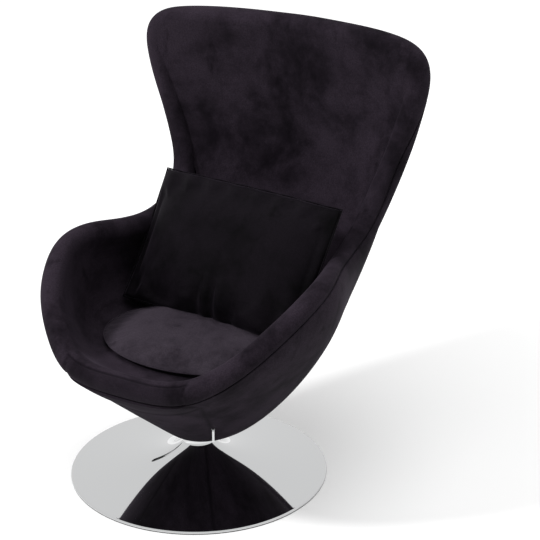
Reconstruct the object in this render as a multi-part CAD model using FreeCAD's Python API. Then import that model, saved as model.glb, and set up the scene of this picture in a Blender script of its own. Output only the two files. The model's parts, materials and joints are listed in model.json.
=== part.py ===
import FreeCAD, Part
import math
import os

# A pod chair: an egg-shaped upholstered seat that swivels and lifts on a gas spring
# standing in a chromed trumpet base. Millimetres, +Z up, the origin on the floor under
# the column. The chair faces -Y, and the sitter's right is -X.

Vec = FreeCAD.Vector
UP = Vec(0, 0, 1)
ALONG_X = Vec(1, 0, 0)
ALONG_Y = Vec(0, 1, 0)

# Clearances
LAYER_GAP = 0.3
RUNNING_GAP = 0.05
SWIVEL_GAP = 4.0
CUT_MARGIN = 5.0

# Padded edge of the seat: stations round the +X half, from the front to the back. Each
# has a point on the middle of the rounded edge, and the belly point below it that the
# outside wall is drawn towards.
EDGE_STATIONS = (
    (Vec(0, -248, 292), Vec(0, -218, 260)),
    (Vec(126, -236, 304), Vec(126, -192, 274)),
    (Vec(200, -192, 344), Vec(210, -132, 298)),
    (Vec(250, -140, 394), Vec(264, -66, 320)),
    (Vec(286, -24, 454), Vec(304, 74, 348)),
    (Vec(252, 112, 448), Vec(292, 172, 376)),
    (Vec(228, 240, 462), Vec(258, 256, 408)),
    (Vec(238, 324, 544), Vec(230, 318, 430)),
    (Vec(290, 342, 704), Vec(210, 376, 442)),
    (Vec(306, 338, 824), Vec(196, 420, 448)),
    (Vec(240, 340, 856), Vec(136, 466, 452)),
    (Vec(0, 362, 864), Vec(0, 502, 456)),
)
EDGE_ROLL_RADIUS = 24.0
QUARTER_PULL = 0.5523
BELLY_CENTRE_Y = 60.0
SHELL_FOOT_RADIUS = 48.0
SHELL_FOOT_Z = 88.0
FOOT_REACH_FRONT = 4.0
FOOT_REACH_BACK = 157.0
RIB_COUNT = 44

# Layers of the seat wall, from the outside inwards
COVER_THICKNESS = 2.5
SHELL_THICKNESS = 8.0
SHELL_DEPTH = COVER_THICKNESS + LAYER_GAP
PADDING_DEPTH = SHELL_DEPTH + SHELL_THICKNESS + LAYER_GAP

# Seams of the fabric panels at the front, seen from the front
FRONT_PANEL_TOP_HALF = 134.0
FRONT_PANEL_LOW_HALF = 150.0
FRONT_PANEL_LOW_Z = 275.0
FRONT_PANEL_MIDDLE_Z = 228.0
UNDER_PANEL_MIDDLE_HALF = 90.0
UNDER_PANEL_MIDDLE_Z = 144.0
SEAM_GAP = 0.3

# Seat deck and the oval pad on it
DECK_Z = 284.0
PAD_HALF_WIDTH = 205.0
PAD_HALF_DEPTH = 164.0
PAD_CENTRE_Y = 8.0
PAD_CROWN = 30.0
DECK_MARGIN = 2.0
PAD_RIB_COUNT = 24
WALL_FOOT_PULL = 60.0
WALL_FOOT_SHARE = 0.33

# Plywood seat board inside the moulded shell, on a moulded ledge
BOARD_THICKNESS = 12.0
BOARD_Z = 232.0
LEDGE_WIDTH = 16.0
LEDGE_THICKNESS = 8.0

# Seat mechanism under the board
PLATE_SIZE = 160.0
PLATE_THICKNESS = 3.0
PLATE_CORNER = 16.0
BOLT_SPACING = 120.0
BOLT_RADIUS = 4.0
BOLT_HEAD_ACROSS = 13.0
BOLT_HEAD_HEIGHT = 5.3
WASHER_RADIUS = 8.0
WASHER_THICKNESS = 1.6
TEE_NUT_BARREL = 5.5
TEE_NUT_FLANGE = 9.5
TEE_NUT_FLANGE_THICKNESS = 1.5
CHANNEL_HALF_LENGTH = 42.0
CHANNEL_INSIDE_WIDTH = 60.0
CHANNEL_HEIGHT = 33.0
SOCKET_WALL = 5.0
SOCKET_LENGTH = 36.0

# Gas spring
LIFT_STROKE = 60.0
CYLINDER_RADIUS = 14.0
CYLINDER_TOP_RADIUS = 12.4
CYLINDER_TOP_ABOVE_WEB = 4.0
ROD_RADIUS = 5.0
ROD_FLANGE_RADIUS = 9.0
ROD_FLANGE_THICKNESS = 2.0
ROD_ENGAGEMENT = 24.0
BUTTON_RADIUS = 3.0
BUTTON_PROUD = 5.0
BUTTON_DEPTH = 14.0
BUTTON_STROKE = 2.5
BUTTON_CHAMFER = 0.8
TUBE_RADIUS = 25.0
TUBE_WALL = 2.0
TUBE_TOP_Z = 120.0
TUBE_FLOOR_Z = 12.0
TUBE_FLOOR_THICKNESS = 2.0
BUSH_LENGTH = 60.0
BUSH_FLANGE = 3.0
RACE_THICKNESS = 1.5
RACE_RADIUS = 12.0
ROLLER_RADIUS = 1.5
ROLLER_LENGTH = 4.0
ROLLER_COUNT = 10
BUFFER_HEIGHT = 8.0
BUFFER_RADIUS = 12.0
CLIP_THICKNESS = 1.2
CLIP_RADIUS = 8.5
CLIP_GROOVE_DEPTH = 1.0

# Trumpet base
BASE_RADIUS = 265.0
BASE_LIP_Z = 6.0
BASE_SHEET = 1.5
NECK_RADIUS = 32.4
NECK_FOOT_Z = 70.0
FLARE_POWER = 1.3
FLARE_STATIONS = 9
FOOT_DISC_THICKNESS = 2.0
FOOT_DISC_INSET = 0.5
BASE_PLATE_RADIUS = 182.0
BASE_PLATE_THICKNESS = 4.0
BALLAST_RADIUS = 95.0
BALLAST_THICKNESS = 5.0
NECK_RING_HEIGHT = 10.0

# Lift lever
LEVER_RADIUS = 4.5
LEVER_PIVOT_X = -28.0
LEVER_PIN_RADIUS = 2.5
LEVER_INNER_END_X = 10.0
LEVER_BEND_X = -58.0
LEVER_KNEE = Vec(-112, 0, 104)
LEVER_END = Vec(-160, 0, 98)
LEVER_BEND_RADIUS = 24.0
LEVER_PIN_GAP = 1.7
LEVER_CAP_RADIUS = 6.5
LEVER_CAP_LENGTH = 16.0
LEVER_CAP_END = 3.0
LEVER_CAP_CHAMFER = 1.5
HUB_LENGTH = 16.0
HUB_HEIGHT = 19.0
LEVER_SLOT_WIDTH = 16.0
LEVER_SLOT_LENGTH = 34.0

# Lumbar cushion
CUSHION_WIDTH = 450.0
CUSHION_HEIGHT = 290.0
CUSHION_THICKNESS = 112.0
CUSHION_SIDE_DRAW = 16.0
CUSHION_EDGE_HALF = 2.0
CUSHION_FULLNESS = 0.6
CUSHION_CENTRE = Vec(-2, 132, 431.1)
CUSHION_LEAN_DEGREES = 32.0
CUSHION_TURN_DEGREES = -6.0

# Zip at the lower end of the right side seam
ZIP_RIB = 3
ZIP_SHARE = 0.43
SLIDER_LENGTH = 9.0
SLIDER_WIDTH = 7.0
SLIDER_THICKNESS = 2.4
LUG_THICKNESS = 0.8
PULLER_LENGTH = 25.0
PULLER_WIDTH = 4.4
PULLER_THICKNESS = 1.2
PULLER_EYE_RADIUS = 1.7
PULLER_PIN_RADIUS = 0.8
PULLER_PIN_REACH = 4.6

# Heights that follow from the sizes above
BOARD_TOP_Z = BOARD_Z + BOARD_THICKNESS
PLATE_Z = BOARD_Z - PLATE_THICKNESS
WEB_Z = BOARD_Z - PLATE_THICKNESS - CHANNEL_HEIGHT
WEB_TOP_Z = WEB_Z + PLATE_THICKNESS
CYLINDER_TOP_Z = WEB_TOP_Z + CYLINDER_TOP_ABOVE_WEB
BUTTON_TOP_Z = CYLINDER_TOP_Z + BUTTON_PROUD
LEVER_Z = BUTTON_TOP_Z + LAYER_GAP + LEVER_RADIUS
LEVER_PIN_Z = LEVER_Z - LEVER_RADIUS - LEVER_PIN_RADIUS - LEVER_PIN_GAP
RACE_Z = TUBE_FLOOR_Z + TUBE_FLOOR_THICKNESS
ROLLER_Z = RACE_Z + RACE_THICKNESS + ROLLER_RADIUS
UPPER_RACE_Z = ROLLER_Z + ROLLER_RADIUS
ROD_FLANGE_Z = UPPER_RACE_Z + RACE_THICKNESS
BUFFER_Z = ROD_FLANGE_Z + ROD_FLANGE_THICKNESS
CYLINDER_FOOT_Z = BUFFER_Z + BUFFER_HEIGHT + LAYER_GAP
ROD_TOP_Z = CYLINDER_FOOT_Z + LIFT_STROKE + ROD_ENGAGEMENT
NECK_TOP_Z = SHELL_FOOT_Z - SWIVEL_GAP


def cylinder(radius, low, high, x=0.0, y=0.0):
    return Part.makeCylinder(radius, high - low, Vec(x, y, low))


def tube(outer, inner, low, high, x=0.0, y=0.0):
    return cylinder(outer, low, high, x, y).cut(cylinder(inner, low - 1, high + 1, x, y))


def revolved(points):
    """A solid of revolution round Z from a closed outline of (radius, z) corners."""
    outline = [Vec(radius, 0, z) for radius, z in points]
    face = Part.Face(Part.makePolygon(outline + outline[:1]))
    return face.revolve(Vec(0, 0, 0), UP, 360)


def slab(low, high):
    """A block wider than the chair between two heights."""
    reach = 2 * BASE_RADIUS
    return Part.makeBox(2 * reach, 2 * reach, high - low, Vec(-reach, -reach, low))


def all_stations():
    """The stations of both halves, once round from the front middle towards +X."""
    mirrored = []
    for edge, belly in reversed(EDGE_STATIONS[1:-1]):
        mirrored.append((Vec(-edge.x, edge.y, edge.z), Vec(-belly.x, belly.y, belly.z)))
    return list(EDGE_STATIONS) + mirrored


def smooth_loop(points, parameters):
    curve = Part.BSplineCurve()
    curve.interpolate(Points=points, PeriodicFlag=True, Parameters=parameters)
    return curve


def shell_ribs():
    """The ribs of the seat: where each one starts, its pull points and its edge frame."""
    stations = all_stations()
    edges = [edge for edge, belly in stations]
    parameters = [0.0]
    for index, edge in enumerate(edges):
        following = edges[(index + 1) % len(edges)]
        parameters.append(parameters[-1] + math.sqrt((following - edge).Length))
    edge_curve = smooth_loop(edges, parameters)
    belly_curve = smooth_loop([belly for edge, belly in stations], parameters)
    ribs = []
    for index in range(RIB_COUNT):
        ribs.append(rib_at(edge_curve, belly_curve, parameters[-1], index / RIB_COUNT))
    return ribs


def rib_at(edge_curve, belly_curve, length, share):
    """One rib, at a share of the way round from the front middle."""
    parameter = length * share
    edge = edge_curve.value(parameter)
    belly = belly_curve.value(parameter)
    along = edge_curve.tangent(parameter)[0]
    along.normalize()
    upward = edge - belly
    upward = upward - along * upward.dot(along)
    upward.normalize()
    outward = along.cross(upward)
    turn = math.atan2(belly.x, BELLY_CENTRE_Y - belly.y)
    reach_middle = (FOOT_REACH_BACK + FOOT_REACH_FRONT) / 2
    reach_swing = (FOOT_REACH_BACK - FOOT_REACH_FRONT) / 2
    return {
        "edge": edge,
        "belly": belly,
        "up": upward,
        "out": outward,
        "turn": turn,
        "reach": reach_middle - reach_swing * math.cos(turn),
    }


def heading(rib):
    """The level direction in which a rib leaves the foot."""
    return Vec(math.sin(rib["turn"]), -math.cos(rib["turn"]), 0)


def outside_pulls(rib, depth):
    """The four pull points of the outside wall from foot to edge, depth below the fabric."""
    foot = heading(rib) * SHELL_FOOT_RADIUS + UP * (SHELL_FOOT_Z + depth)
    side = rib["out"] * (EDGE_ROLL_RADIUS - depth)
    return [foot, foot + heading(rib) * rib["reach"], rib["belly"] + side, rib["edge"] + side]


def inside_pulls(rib):
    """The four pull points of the inside wall, from the rounded edge down to the deck."""
    side = rib["out"] * EDGE_ROLL_RADIUS
    foot = deck_point(rib)
    outward = Vec(foot.x, foot.y - PAD_CENTRE_Y, 0)
    outward.normalize()
    top = rib["edge"] - side
    pull = min(WALL_FOOT_PULL, (top - foot).Length * WALL_FOOT_SHARE)
    return [top, rib["belly"] - side, foot + outward * pull, foot]


def roll_pulls(rib, start, across, up):
    """The four pull points of a quarter round: from start, it heads up, then across."""
    lift = up * EDGE_ROLL_RADIUS
    side = across * EDGE_ROLL_RADIUS
    return [start, start + lift * QUARTER_PULL, start + lift + side * (1 - QUARTER_PULL), start + lift + side]


def deck_point(rib):
    turn = math.atan2(rib["belly"].x / PAD_HALF_WIDTH, (PAD_CENTRE_Y - rib["belly"].y) / PAD_HALF_DEPTH)
    across = (PAD_HALF_WIDTH + DECK_MARGIN) * math.sin(turn)
    back = PAD_CENTRE_Y - (PAD_HALF_DEPTH + DECK_MARGIN) * math.cos(turn)
    return Vec(across, back, DECK_Z)


def closed_loop(points):
    """A smooth closed curve through points that go once round."""
    return smooth_loop(points, list(range(len(points) + 1)))


def strip(pulls):
    """One smooth face that goes once round, from a list of pull points at every rib."""
    loops = [closed_loop(points) for points in zip(*pulls)]
    degree = len(loops) - 1
    surface = Part.BSplineSurface()
    surface.buildFromPolesMultsKnots(
        [loop.getPoles() for loop in loops],
        [degree + 1, degree + 1],
        loops[0].getMultiplicities(),
        [0.0, 1.0],
        loops[0].getKnots(),
        False,
        True,
        degree,
        loops[0].Degree,
    )
    return surface.toShape()


def level_face(points):
    return Part.Face(Part.Wire([closed_loop(points).toShape()]))


def sewn_solid(faces):
    """A solid closed by faces that meet, turned so that a place far away is outside it."""
    shell = Part.makeShell(faces)
    shell.sewShape()
    solid = Part.makeSolid(shell)
    if solid.isInside(Vec(0, 0, -BASE_RADIUS), LAYER_GAP, False):
        solid.reverse()
    return solid


def wall_solid(ribs, outer_depth, inner_depth):
    """A layer of the wall between two depths, open at the foot."""
    outer = [outside_pulls(rib, outer_depth) for rib in ribs]
    inner = [outside_pulls(rib, inner_depth) for rib in ribs]
    edge = [[a[-1], b[-1]] for a, b in zip(outer, inner)]
    foot = [[a[0], b[0]] for a, b in zip(outer, inner)]
    return sewn_solid([strip(outer), strip(inner), strip(edge), strip(foot)])


def inside_space(ribs, depth):
    """The room inside the wall at a depth, closed above the edge: a tool for cutting."""
    wall = [outside_pulls(rib, depth) for rib in ribs]
    lid_z = EDGE_STATIONS[-1][0].z + 2 * EDGE_ROLL_RADIUS
    lid = [heading(rib) * BASE_RADIUS + UP * lid_z for rib in ribs]
    collar = [[pulls[-1], point] for pulls, point in zip(wall, lid)]
    foot = [pulls[0] for pulls in wall]
    return sewn_solid([strip(wall), strip(collar), level_face(foot), level_face(lid)])


def front_panel_cutter(gap):
    """The outline of the front panel, seen from the front, pushed through the front wall."""
    top_z = EDGE_STATIONS[0][0].z + 4 * EDGE_ROLL_RADIUS
    slope = (FRONT_PANEL_LOW_HALF - FRONT_PANEL_TOP_HALF) / (EDGE_STATIONS[0][0].z - FRONT_PANEL_LOW_Z)
    top_half = FRONT_PANEL_LOW_HALF - slope * (top_z - FRONT_PANEL_LOW_Z) - gap
    low_half = FRONT_PANEL_LOW_HALF - gap
    y = BELLY_CENTRE_Y - PAD_HALF_DEPTH
    left = Vec(-low_half, y, FRONT_PANEL_LOW_Z + gap)
    right = Vec(low_half, y, FRONT_PANEL_LOW_Z + gap)
    lowest = Vec(0, y, FRONT_PANEL_MIDDLE_Z + gap)
    curve = Part.Arc(left, lowest, right).toShape()
    sides = Part.makePolygon([right, Vec(top_half, y, top_z), Vec(-top_half, y, top_z), left])
    face = Part.Face(Part.Wire([curve] + sides.Edges))
    return face.extrude(Vec(0, -BASE_RADIUS, 0))


def under_panel_cutter(gap):
    """The outline of the panel below the front one, down to the foot."""
    high_half = FRONT_PANEL_LOW_HALF - gap
    middle_half = UNDER_PANEL_MIDDLE_HALF - gap
    foot_z = SHELL_FOOT_Z - CUT_MARGIN
    foot_half = SHELL_FOOT_RADIUS - gap
    right = [
        Vec(foot_half, 0, foot_z),
        Vec(middle_half, 0, UNDER_PANEL_MIDDLE_Z),
        Vec(high_half, 0, FRONT_PANEL_LOW_Z),
    ]
    left = [Vec(-corner.x, 0, corner.z) for corner in reversed(right)]
    face = Part.Face(Part.makePolygon(right + left + right[:1]))
    return face.extrude(Vec(0, -BASE_RADIUS - EDGE_ROLL_RADIUS, 0))


def cover_panels(ribs, lever_slot):
    """The outside fabric in three panels: front, under it, and round the back."""
    cover = wall_solid(ribs, 0.0, COVER_THICKNESS).cut(lever_slot)
    front = cover.common(front_panel_cutter(SEAM_GAP))
    rest = cover.cut(front_panel_cutter(0.0))
    under = rest.common(under_panel_cutter(SEAM_GAP))
    back = rest.cut(under_panel_cutter(0.0))
    return {"cover_front": front, "cover_under": under, "cover_back": back}


def moulded_shell(ribs, lever_slot):
    return wall_solid(ribs, SHELL_DEPTH, SHELL_DEPTH + SHELL_THICKNESS).cut(lever_slot)


def board_ledge(ribs):
    """The ring bonded inside the moulded shell that the seat board lies on."""
    outer = inside_space(ribs, PADDING_DEPTH)
    inner = inside_space(ribs, PADDING_DEPTH + LEDGE_WIDTH)
    return slab(BOARD_Z - LEDGE_THICKNESS, BOARD_Z).common(outer).cut(inner)


def rim_roll(ribs):
    """The rounded edge: a half-round roll on top of the wall's layers."""
    outer = []
    inner = []
    flat = []
    for rib in ribs:
        middle = rib["edge"] + rib["up"] * LAYER_GAP
        side = rib["out"] * EDGE_ROLL_RADIUS
        outer.append(roll_pulls(rib, middle + side, -rib["out"], rib["up"]))
        inner.append(roll_pulls(rib, middle - side, rib["out"], rib["up"]))
        flat.append([middle + side, middle - side])
    return sewn_solid([strip(outer), strip(inner), strip(flat)])


def inner_padding(ribs):
    """The foam and fabric inside the shell, from the deck up to the rounded edge."""
    outer = [outside_pulls(rib, PADDING_DEPTH) for rib in ribs]
    inner = [inside_pulls(rib) for rib in ribs]
    top = [[a[-1], b[0]] for a, b in zip(outer, inner)]
    deck = level_face([pulls[-1] for pulls in inner])
    foot = level_face([pulls[0] for pulls in outer])
    block = sewn_solid([strip(outer), strip(top), strip(inner), deck, foot])
    return block.cut(slab(SHELL_FOOT_Z - CUT_MARGIN, BOARD_TOP_Z + LAYER_GAP))


def oval_point(turn, scale, rise):
    across = PAD_HALF_WIDTH * scale * math.sin(turn)
    back = PAD_CENTRE_Y - PAD_HALF_DEPTH * scale * math.cos(turn)
    return Vec(across, back, DECK_Z + LAYER_GAP + PAD_CROWN * rise)


def seat_pad():
    """The oval pad with drawn-in edge and crown: each pull is a share of width and rise."""
    side = ((0.965, 0.0), (1.03, 0.15), (1.0, 0.62), (0.9, 0.76))
    crown = ((0.9, 0.76), (0.75, 0.97), (0.4, 1.0), (0.06, 1.0))
    turns = [2 * math.pi * index / PAD_RIB_COUNT for index in range(PAD_RIB_COUNT)]
    sides = [[oval_point(turn, scale, rise) for scale, rise in side] for turn in turns]
    crowns = [[oval_point(turn, scale, rise) for scale, rise in crown] for turn in turns]
    foot = level_face([pulls[0] for pulls in sides])
    top = level_face([pulls[-1] for pulls in crowns])
    return sewn_solid([strip(sides), strip(crowns), foot, top])


def bolt_places():
    half = BOLT_SPACING / 2
    return [(-half, -half), (half, -half), (half, half), (-half, half)]


def joined(shapes):
    return Part.makeCompound(shapes)


def seat_board(ribs):
    space = inside_space(ribs, PADDING_DEPTH)
    board = slab(BOARD_Z, BOARD_TOP_Z).common(space)
    for x, y in bolt_places():
        board = board.cut(cylinder(TEE_NUT_BARREL, BOARD_Z - 1, BOARD_TOP_Z + 1, x, y))
        sink = BOARD_TOP_Z - TEE_NUT_FLANGE_THICKNESS
        board = board.cut(cylinder(TEE_NUT_FLANGE + LAYER_GAP, sink, BOARD_TOP_Z + 1, x, y))
    return board


def tee_nuts():
    nuts = []
    for x, y in bolt_places():
        barrel = cylinder(TEE_NUT_BARREL - RUNNING_GAP, BOARD_Z + 4, BOARD_TOP_Z, x, y)
        flange = cylinder(TEE_NUT_FLANGE, BOARD_TOP_Z - TEE_NUT_FLANGE_THICKNESS, BOARD_TOP_Z, x, y)
        bore = cylinder(BOLT_RADIUS + RUNNING_GAP, BOARD_Z, BOARD_TOP_Z + 1, x, y)
        nuts.append(barrel.fuse(flange).cut(bore))
    return joined(nuts)


def mechanism_bolts():
    bolts = []
    head_top = PLATE_Z - WASHER_THICKNESS
    for x, y in bolt_places():
        shank = cylinder(BOLT_RADIUS, head_top, BOARD_TOP_Z - 1, x, y)
        bolts.append(shank.fuse(hexagon(BOLT_HEAD_ACROSS, head_top - BOLT_HEAD_HEIGHT, head_top, x, y)))
    return joined(bolts)


def hexagon(across, low, high, x, y):
    radius = across / math.sqrt(3)
    corners = []
    for index in range(7):
        angle = math.radians(60 * index)
        corners.append(Vec(x + radius * math.cos(angle), y + radius * math.sin(angle), low))
    return Part.Face(Part.makePolygon(corners)).extrude(UP * (high - low))


def bolt_washers():
    low = PLATE_Z - WASHER_THICKNESS
    bore = BOLT_RADIUS + 2 * RUNNING_GAP
    return joined([tube(WASHER_RADIUS, bore, low, PLATE_Z, x, y) for x, y in bolt_places()])


def rounded_plate(size, corner, low, high):
    half = size / 2
    plate = Part.makeBox(size, size, high - low, Vec(-half, -half, low))
    uprights = [edge for edge in plate.Edges if abs(edge.tangentAt(edge.FirstParameter).z) > 0.9]
    return plate.makeFillet(corner, uprights)


def mechanism_frame():
    """The pressed plate with the channel under it that carries the lever and socket."""
    plate = rounded_plate(PLATE_SIZE, PLATE_CORNER, PLATE_Z, BOARD_Z)
    half_width = CHANNEL_INSIDE_WIDTH / 2
    outside = Part.makeBox(
        2 * CHANNEL_HALF_LENGTH,
        CHANNEL_INSIDE_WIDTH + 2 * PLATE_THICKNESS,
        CHANNEL_HEIGHT + PLATE_THICKNESS,
        Vec(-CHANNEL_HALF_LENGTH, -half_width - PLATE_THICKNESS, WEB_Z),
    )
    inside = Part.makeBox(
        2 * CHANNEL_HALF_LENGTH + 2,
        CHANNEL_INSIDE_WIDTH,
        PLATE_Z - WEB_TOP_Z,
        Vec(-CHANNEL_HALF_LENGTH - 1, -half_width, WEB_TOP_Z),
    )
    frame = plate.fuse(outside.cut(inside))
    frame = frame.cut(cylinder(CYLINDER_RADIUS, WEB_Z - 1, WEB_TOP_Z + 1))
    for x, y in bolt_places():
        frame = frame.cut(cylinder(BOLT_RADIUS + 2 * RUNNING_GAP, PLATE_Z - 1, BOARD_Z + 1, x, y))
    return frame.cut(lever_pin(RUNNING_GAP))


def taper_radius(z):
    """The outside radius of the gas cylinder's tapered top at a height."""
    foot = WEB_Z - SOCKET_LENGTH
    share = (z - foot) / (CYLINDER_TOP_Z - foot)
    return CYLINDER_RADIUS + (CYLINDER_TOP_RADIUS - CYLINDER_RADIUS) * share


def taper_socket():
    foot = WEB_Z - SOCKET_LENGTH
    outer = CYLINDER_RADIUS + SOCKET_WALL
    return revolved((
        (taper_radius(foot), foot),
        (outer, foot),
        (outer, WEB_Z),
        (taper_radius(WEB_Z), WEB_Z),
    ))


def gas_cylinder():
    foot = WEB_Z - SOCKET_LENGTH
    body = revolved((
        (0, CYLINDER_FOOT_Z),
        (CYLINDER_RADIUS - 1, CYLINDER_FOOT_Z),
        (CYLINDER_RADIUS, CYLINDER_FOOT_Z + 1),
        (CYLINDER_RADIUS, foot),
        (CYLINDER_TOP_RADIUS, CYLINDER_TOP_Z),
        (0, CYLINDER_TOP_Z),
    ))
    bore = cylinder(ROD_RADIUS + RUNNING_GAP, CYLINDER_FOOT_Z - 1, ROD_TOP_Z + 2)
    button_bore = cylinder(
        BUTTON_RADIUS + RUNNING_GAP,
        CYLINDER_TOP_Z - BUTTON_DEPTH + BUTTON_PROUD - BUTTON_STROKE - 1,
        CYLINDER_TOP_Z + 1,
    )
    return body.cut(bore).cut(button_bore)


def release_button():
    button = cylinder(BUTTON_RADIUS, BUTTON_TOP_Z - BUTTON_DEPTH, BUTTON_TOP_Z)
    top_edges = [edge for edge in button.Edges if edge.BoundBox.ZMin > BUTTON_TOP_Z - 0.1]
    return button.makeChamfer(BUTTON_CHAMFER, top_edges)


def piston_rod():
    rod = cylinder(ROD_RADIUS, TUBE_FLOOR_Z - 3 * CLIP_THICKNESS, ROD_TOP_Z)
    flange = cylinder(ROD_FLANGE_RADIUS, ROD_FLANGE_Z, BUFFER_Z)
    rod = rod.fuse(flange)
    groove_top = TUBE_FLOOR_Z - LAYER_GAP
    groove_radius = ROD_RADIUS - CLIP_GROOVE_DEPTH
    return rod.cut(tube(ROD_RADIUS + 1, groove_radius, groove_top - CLIP_THICKNESS, groove_top))


def rod_clip():
    """The snap ring under the tube's floor, with its mouth open to +Y."""
    top = TUBE_FLOOR_Z - LAYER_GAP
    groove_radius = ROD_RADIUS - CLIP_GROOVE_DEPTH
    clip = tube(CLIP_RADIUS, groove_radius, top - CLIP_THICKNESS, top)
    mouth = Part.makeBox(
        2 * groove_radius - 1,
        CLIP_RADIUS + 1,
        CLIP_THICKNESS + 2,
        Vec(0.5 - groove_radius, 0, top - CLIP_THICKNESS - 1),
    )
    return clip.cut(mouth)


def column_tube():
    wall = tube(TUBE_RADIUS, TUBE_RADIUS - TUBE_WALL, ballast_top(), TUBE_TOP_Z)
    floor = tube(
        TUBE_RADIUS - TUBE_WALL / 2,
        ROD_RADIUS + 4 * RUNNING_GAP,
        TUBE_FLOOR_Z,
        TUBE_FLOOR_Z + TUBE_FLOOR_THICKNESS,
    )
    return wall.fuse(floor)


def ballast_top():
    return FOOT_DISC_THICKNESS + BASE_PLATE_THICKNESS


def guide_bush():
    bore = CYLINDER_RADIUS + RUNNING_GAP
    sleeve = tube(TUBE_RADIUS - TUBE_WALL - RUNNING_GAP, bore, TUBE_TOP_Z - BUSH_LENGTH, TUBE_TOP_Z)
    flange = tube(TUBE_RADIUS, bore, TUBE_TOP_Z, TUBE_TOP_Z + BUSH_FLANGE)
    return sleeve.fuse(flange)


def lower_race():
    return tube(RACE_RADIUS, ROD_RADIUS + 4 * RUNNING_GAP, RACE_Z, RACE_Z + RACE_THICKNESS)


def upper_race():
    return tube(RACE_RADIUS, ROD_RADIUS + RUNNING_GAP, UPPER_RACE_Z, UPPER_RACE_Z + RACE_THICKNESS)


def bearing_cage():
    """The roller cage between the two races, with its rollers lying like spokes."""
    inner = RACE_RADIUS - ROLLER_LENGTH - ROLLER_RADIUS
    thin = ROLLER_RADIUS / 2
    cage = tube(RACE_RADIUS, inner, ROLLER_Z - thin, ROLLER_Z + thin)
    for index in range(ROLLER_COUNT):
        angle = 2 * math.pi * index / ROLLER_COUNT
        spoke = Vec(math.cos(angle), math.sin(angle), 0)
        start = spoke * (inner + thin) + UP * ROLLER_Z
        cage = cage.fuse(Part.makeCylinder(ROLLER_RADIUS - RUNNING_GAP, ROLLER_LENGTH, start, spoke))
    return cage


def rubber_buffer():
    return tube(BUFFER_RADIUS, ROD_RADIUS + RUNNING_GAP, BUFFER_Z, BUFFER_Z + BUFFER_HEIGHT)


def flare_height(radius):
    """The height of the trumpet's outside at a radius, falling away like a power curve."""
    edge = (NECK_RADIUS / BASE_RADIUS) ** FLARE_POWER
    share = ((NECK_RADIUS / radius) ** FLARE_POWER - edge) / (1 - edge)
    return BASE_LIP_Z + (NECK_FOOT_Z - BASE_LIP_Z) * share


def flare_points(inset):
    """Points down the trumpet's outside, or below it by the sheet's thickness."""
    growth = BASE_RADIUS / NECK_RADIUS
    points = []
    for index in range(FLARE_STATIONS):
        radius = NECK_RADIUS * growth ** (index / (FLARE_STATIONS - 1))
        step = radius * 0.001
        slope = (flare_height(radius + step) - flare_height(radius - step)) / (2 * step)
        length = math.hypot(1, slope)
        shift = 0.0 if index in (0, FLARE_STATIONS - 1) else inset * slope / length
        drop = inset if index == FLARE_STATIONS - 1 else inset / length
        drop = 0.0 if index == 0 else drop
        inward = inset if index == 0 else -shift
        points.append(Vec(radius - inward, 0, flare_height(radius) - drop))
    return points


def trumpet_base():
    """The chromed sheet: a straight neck that flares out to a turned-down lip."""
    outer = flare_points(0.0)
    inner = flare_points(BASE_SHEET)
    rim = inner[-1]
    outer_curve = Part.BSplineCurve()
    outer_curve.interpolate(outer)
    inner_points = inner[:-1] + [Vec(BASE_RADIUS - BASE_SHEET, 0, rim.z)]
    inner_curve = Part.BSplineCurve()
    inner_curve.interpolate(inner_points)
    lip_low = FOOT_DISC_THICKNESS
    lip = Part.makePolygon([
        outer[-1],
        Vec(BASE_RADIUS, 0, lip_low),
        Vec(BASE_RADIUS - BASE_SHEET, 0, lip_low),
        inner_points[-1],
    ])
    neck = Part.makePolygon([
        inner_points[0],
        Vec(NECK_RADIUS - BASE_SHEET, 0, NECK_TOP_Z),
        Vec(NECK_RADIUS, 0, NECK_TOP_Z),
        outer[0],
    ])
    outline = Part.Wire([outer_curve.toShape()] + lip.Edges + [inner_curve.toShape()] + neck.Edges)
    return Part.Face(outline).revolve(Vec(0, 0, 0), UP, 360)


def base_plate():
    return cylinder(BASE_PLATE_RADIUS, FOOT_DISC_THICKNESS, FOOT_DISC_THICKNESS + BASE_PLATE_THICKNESS)


def ballast_plate():
    low = ballast_top()
    return tube(BALLAST_RADIUS, TUBE_RADIUS + RUNNING_GAP, low, low + BALLAST_THICKNESS)


def foot_disc():
    """The rubber sheet under the whole base, which the chair stands on."""
    return cylinder(BASE_RADIUS - FOOT_DISC_INSET, 0.0, FOOT_DISC_THICKNESS)


def neck_ring():
    """The plastic ring that centres the neck on the column."""
    outer = NECK_RADIUS - BASE_SHEET - RUNNING_GAP
    return tube(outer, TUBE_RADIUS + RUNNING_GAP, NECK_TOP_Z - NECK_RING_HEIGHT, NECK_TOP_Z)


def lever_route():
    return [
        Vec(LEVER_INNER_END_X, 0, LEVER_Z),
        Vec(LEVER_BEND_X, 0, LEVER_Z),
        LEVER_KNEE,
        LEVER_END,
    ]


def bent_rod(route, radius, bend):
    """A round rod along straight runs joined by tangent arcs."""
    edges = []
    start = route[0]
    for index in range(1, len(route) - 1):
        corner = route[index]
        back = route[index - 1] - corner
        ahead = route[index + 1] - corner
        back.normalize()
        ahead.normalize()
        half_turn = (math.pi - back.getAngle(ahead)) / 2
        reach = bend * math.tan(half_turn)
        first = corner + back * reach
        last = corner + ahead * reach
        middle_way = back + ahead
        middle_way.normalize()
        middle = corner + middle_way * (bend / math.cos(half_turn) - bend)
        edges.append(Part.makeLine(start, first))
        edges.append(Part.Arc(first, middle, last).toShape())
        start = last
    edges.append(Part.makeLine(start, route[-1]))
    path = Part.Wire(edges)
    section = Part.Wire([Part.Circle(route[0], route[1] - route[0], radius).toShape()])
    return path.makePipeShell([section], True, False)


def lever_rod():
    return bent_rod(lever_route(), LEVER_RADIUS, LEVER_BEND_RADIUS)


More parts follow.
